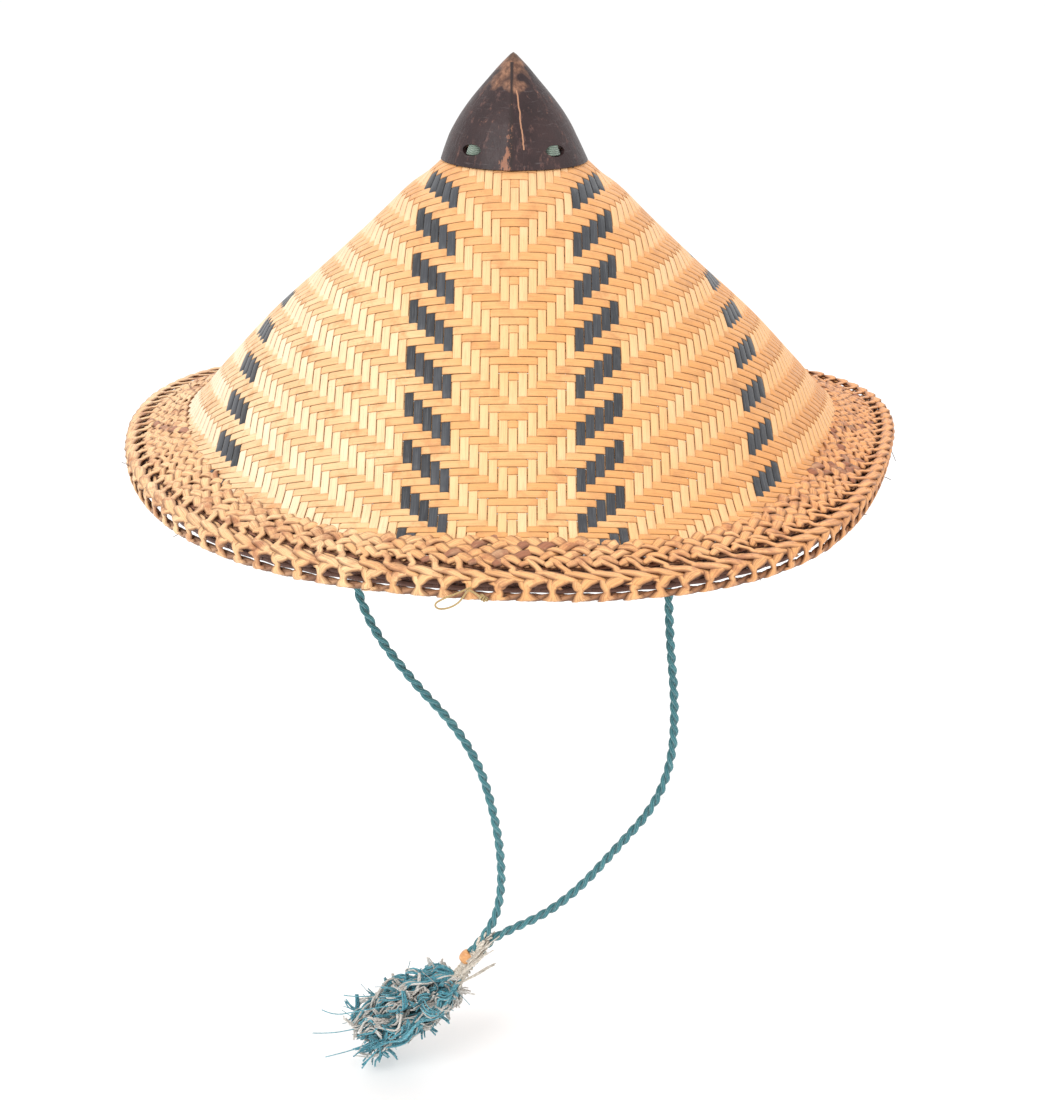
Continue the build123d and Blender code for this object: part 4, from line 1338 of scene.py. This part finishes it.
def make_binding():
    """Raw fibre laid along the cords' ends, wrapped round, with three loose bundles."""
    build = Build()
    draw = np.random.default_rng(61)
    axis = BINDING_END - BINDING_START
    way = unit(axis)
    a = unit(np.cross(way, (0.0, 1.0, 0.0)))
    b = np.cross(a, way)
    for i in range(BINDING_FIBRES):
        angle = draw.uniform(0, TAU)
        spread = draw.uniform(0.8, 1.0)
        start_out = 2.6 * spread
        end_out = 4.9 * spread
        points = []
        for t in np.linspace(-0.12, 1.12, 6):
            out = start_out + (end_out - start_out) * t
            wobble = angle + 1.1 * t + draw.normal(0, 0.12)
            points.append(BINDING_START + axis * t + (a * math.cos(wobble) + b * math.sin(wobble)) * out)
        if i % 6 == 0:
            points[-1] = points[-1] + (a * math.cos(angle) + b * math.sin(angle)) * 4
        if i % 5 == 0:
            points[0] = points[0] + draw.normal(0, 2.2, 3) + np.array((3.5, 0, 2.5))
        fibre(build, points, draw.uniform(0.55, 1.1), 0.4, draw.random(), 6, 0.7)
    for wrap in range(BINDING_WRAPS):
        t0 = 0.25 + 0.1 * wrap
        angles = full_turn(28)
        out = 2.9 + 2.1 * t0
        line = (BINDING_START + axis * (t0 + 0.05 * np.sin(angles))[:, None]
                + (a * np.cos(angles)[:, None] + b * np.sin(angles)[:, None]) * out)
        build.lay(line, way, circle(6), 0.75, 0.5, draw.random(), closed=True)
    for start, end, strands, thick in LOOSE_BUNDLES:
        for _ in range(strands):
            t = np.linspace(0, 1, 5)[:, None]
            reach = draw.uniform(0.6, 1.0)
            points = np.array(start) + (np.array(end, float) - np.array(start)) * t * reach
            points = points + draw.normal(0, 0.5, (5, 3)) + draw.normal(0, 0.8, 3)
            fibre(build, points, thick, 0.4, draw.random(), 6, 0.5)
    build.piece("raw_fibre_tie", RAW, "chin_cord", "raw_fibre", ("fibre_binding",))


TASSEL_AXIS = TASSEL_END - BINDING_END
TASSEL_DEPTH = np.array((0.0, 1.0, 0.0))
TASSEL_ACROSS = unit(np.cross(unit(TASSEL_AXIS), TASSEL_DEPTH))


def from_axis(angle):
    """A direction straight out of the tassel's axis."""
    return TASSEL_DEPTH * math.cos(angle) + TASSEL_ACROSS * math.sin(angle)


def lock_line(draw):
    """The middle of one lock of the tassel: it fans out of the binding and curls."""
    angle = draw.uniform(0, TAU)
    out = math.sqrt(draw.uniform(0.02, 1))
    reach = draw.uniform(0.34, 0.95)
    curl = draw.uniform(2.5, 6.0)
    turns = draw.uniform(1.4, 3.2) * (1 if draw.random() < 0.5 else -1)
    phase = draw.uniform(0, 6)
    points = []
    for t in np.linspace(0, 1, 12):
        spread = np.interp(t, [0, 0.14, 0.4, 0.8, 1], [3.0, 13, 20, 21, 18]) * out
        coil = curl * min(t * 2.5, 1)
        around = phase + TAU * turns * t
        point = BINDING_END + TASSEL_AXIS * t * reach + from_axis(angle) * spread + draw.normal(0, 0.7, 3)
        points.append(point + from_axis(around) * coil)
    return points


def bit_line(draw):
    """One short curled end somewhere in the tassel's body."""
    angle, out = draw.uniform(0, TAU), math.sqrt(draw.uniform(0.1, 0.8))
    along = draw.uniform(0.05, 0.84)
    spread = np.interp(along, [0, 0.14, 0.4, 0.8, 1], [4.0, 14, 20, 20, 17]) * out
    start = BINDING_END + TASSEL_AXIS * along + from_axis(angle) * spread
    heading = unit(unit(TASSEL_AXIS) + draw.normal(0, 0.38, 3))
    bend = unit(np.cross(heading, draw.normal(0, 1, 3)))
    t = np.linspace(-0.5, 0.5, 7)[:, None]
    length, hook = draw.uniform(9, 22), draw.uniform(3, 10)
    return start + heading * t * length + bend * (4 * t ** 2 * hook + np.sin(9 * t) * 1.2)


LOCKS = 40
YARNS_IN_LOCK = 6
BITS = 210
YARNS_IN_BIT = 3
STRAYS = 55
LONG_STRAYS = (
    [(-60, -8, -470), (-84, -10, -476), (-104, -10, -482), (-121, -8, -487), (-133, -6, -488)],
    [(-58, -6, -462), (-82, -9, -464), (-103, -10, -468), (-118, -9, -472), (-126, -8, -468)],
    [(-55, 3, -459), (-80, 4, -461), (-99, 3, -466), (-112, 2, -463)],
    [(-70, -14, -480), (-92, -16, -489), (-110, -15, -497), (-124, -12, -503)],
)


def make_tassel():
    """Yarns in curled locks and short bits, some teal and some undyed, with a few long stray ones."""
    draw = np.random.default_rng(71)
    teal, pale = Build(), Build()
    lowest = FLOOR / MM + 0.8
    for _ in range(LOCKS):
        middle = np.array(lock_line(draw))
        mostly_teal = draw.random() < 0.66
        for _ in range(YARNS_IN_LOCK):
            angle, out = draw.uniform(0, TAU), draw.uniform(0.3, 2.4)
            twist = draw.uniform(-2.5, 2.5)
            splay = np.interp(np.arange(12), [0, 3, 8, 11], [0.5, 1.0, 1.1, 2.0])
            turns = angle + twist * np.linspace(0, 1, 12)
            offset = np.stack([0.5 * np.cos(turns), np.sin(turns), np.cos(turns)], axis=-1)
            offset = offset * (out * splay)[:, None]
            crimp = draw.normal(0, 0.75, (12, 3)) * np.minimum(np.arange(12) / 3, 1)[:, None]
            points = (middle + offset + crimp)[:draw.integers(9, 13)]
            points[:, 2] = np.maximum(points[:, 2], lowest)
            build = teal if (draw.random() < 0.85) == mostly_teal else pale
            fibre(build, points, draw.uniform(0.6, 1.1), draw.uniform(0.4, 0.65), draw.random(), 6, 0.7)
    for _ in range(BITS):
        middle = bit_line(draw)
        build = teal if draw.random() < 0.52 else pale
        for _ in range(YARNS_IN_BIT):
            points = middle + draw.normal(0, 0.8, 3) + draw.normal(0, 0.5, middle.shape)
            points[:, 2] = np.maximum(points[:, 2], lowest)
            fibre(build, points, draw.uniform(0.45, 1.05), draw.uniform(0.35, 0.55), draw.random(), 6, 0.7)
    for _ in range(STRAYS):
        points = bit_line(draw)
        points = points[3] + (points - points[3]) * draw.uniform(1.0, 1.9)
        points[:, 2] = np.maximum(points[:, 2], lowest)
        build = teal if draw.random() < 0.7 else pale
        fibre(build, points, draw.uniform(0.2, 0.34), 0.24, draw.random(), 4, 0.6)
    for points in LONG_STRAYS:
        fibre(teal, [np.array(p, float) for p in points], 0.42, 0.4, draw.random(), 5, 0.5)
    teal.piece("tassel_teal_yarns", TASSEL_TEAL, "chin_cord", "tassel_fibre", ("tassel",))
    pale.piece("tassel_undyed_yarns", TASSEL_PALE, "chin_cord", "tassel_fibre", ("tassel",))


make_uprights()
make_cross_strips()
make_plait()
make_plait_core()
make_border()
make_brim_edge()
make_hem()
make_finial()
make_finial_stitches()
make_knots()
make_head_ring()
make_lashings()
make_seam_stitches()
paint_cad_nodes()
make_rim_tie()
make_stray_fibres()
make_eyes()
make_bead()
make_binding()
make_tassel()
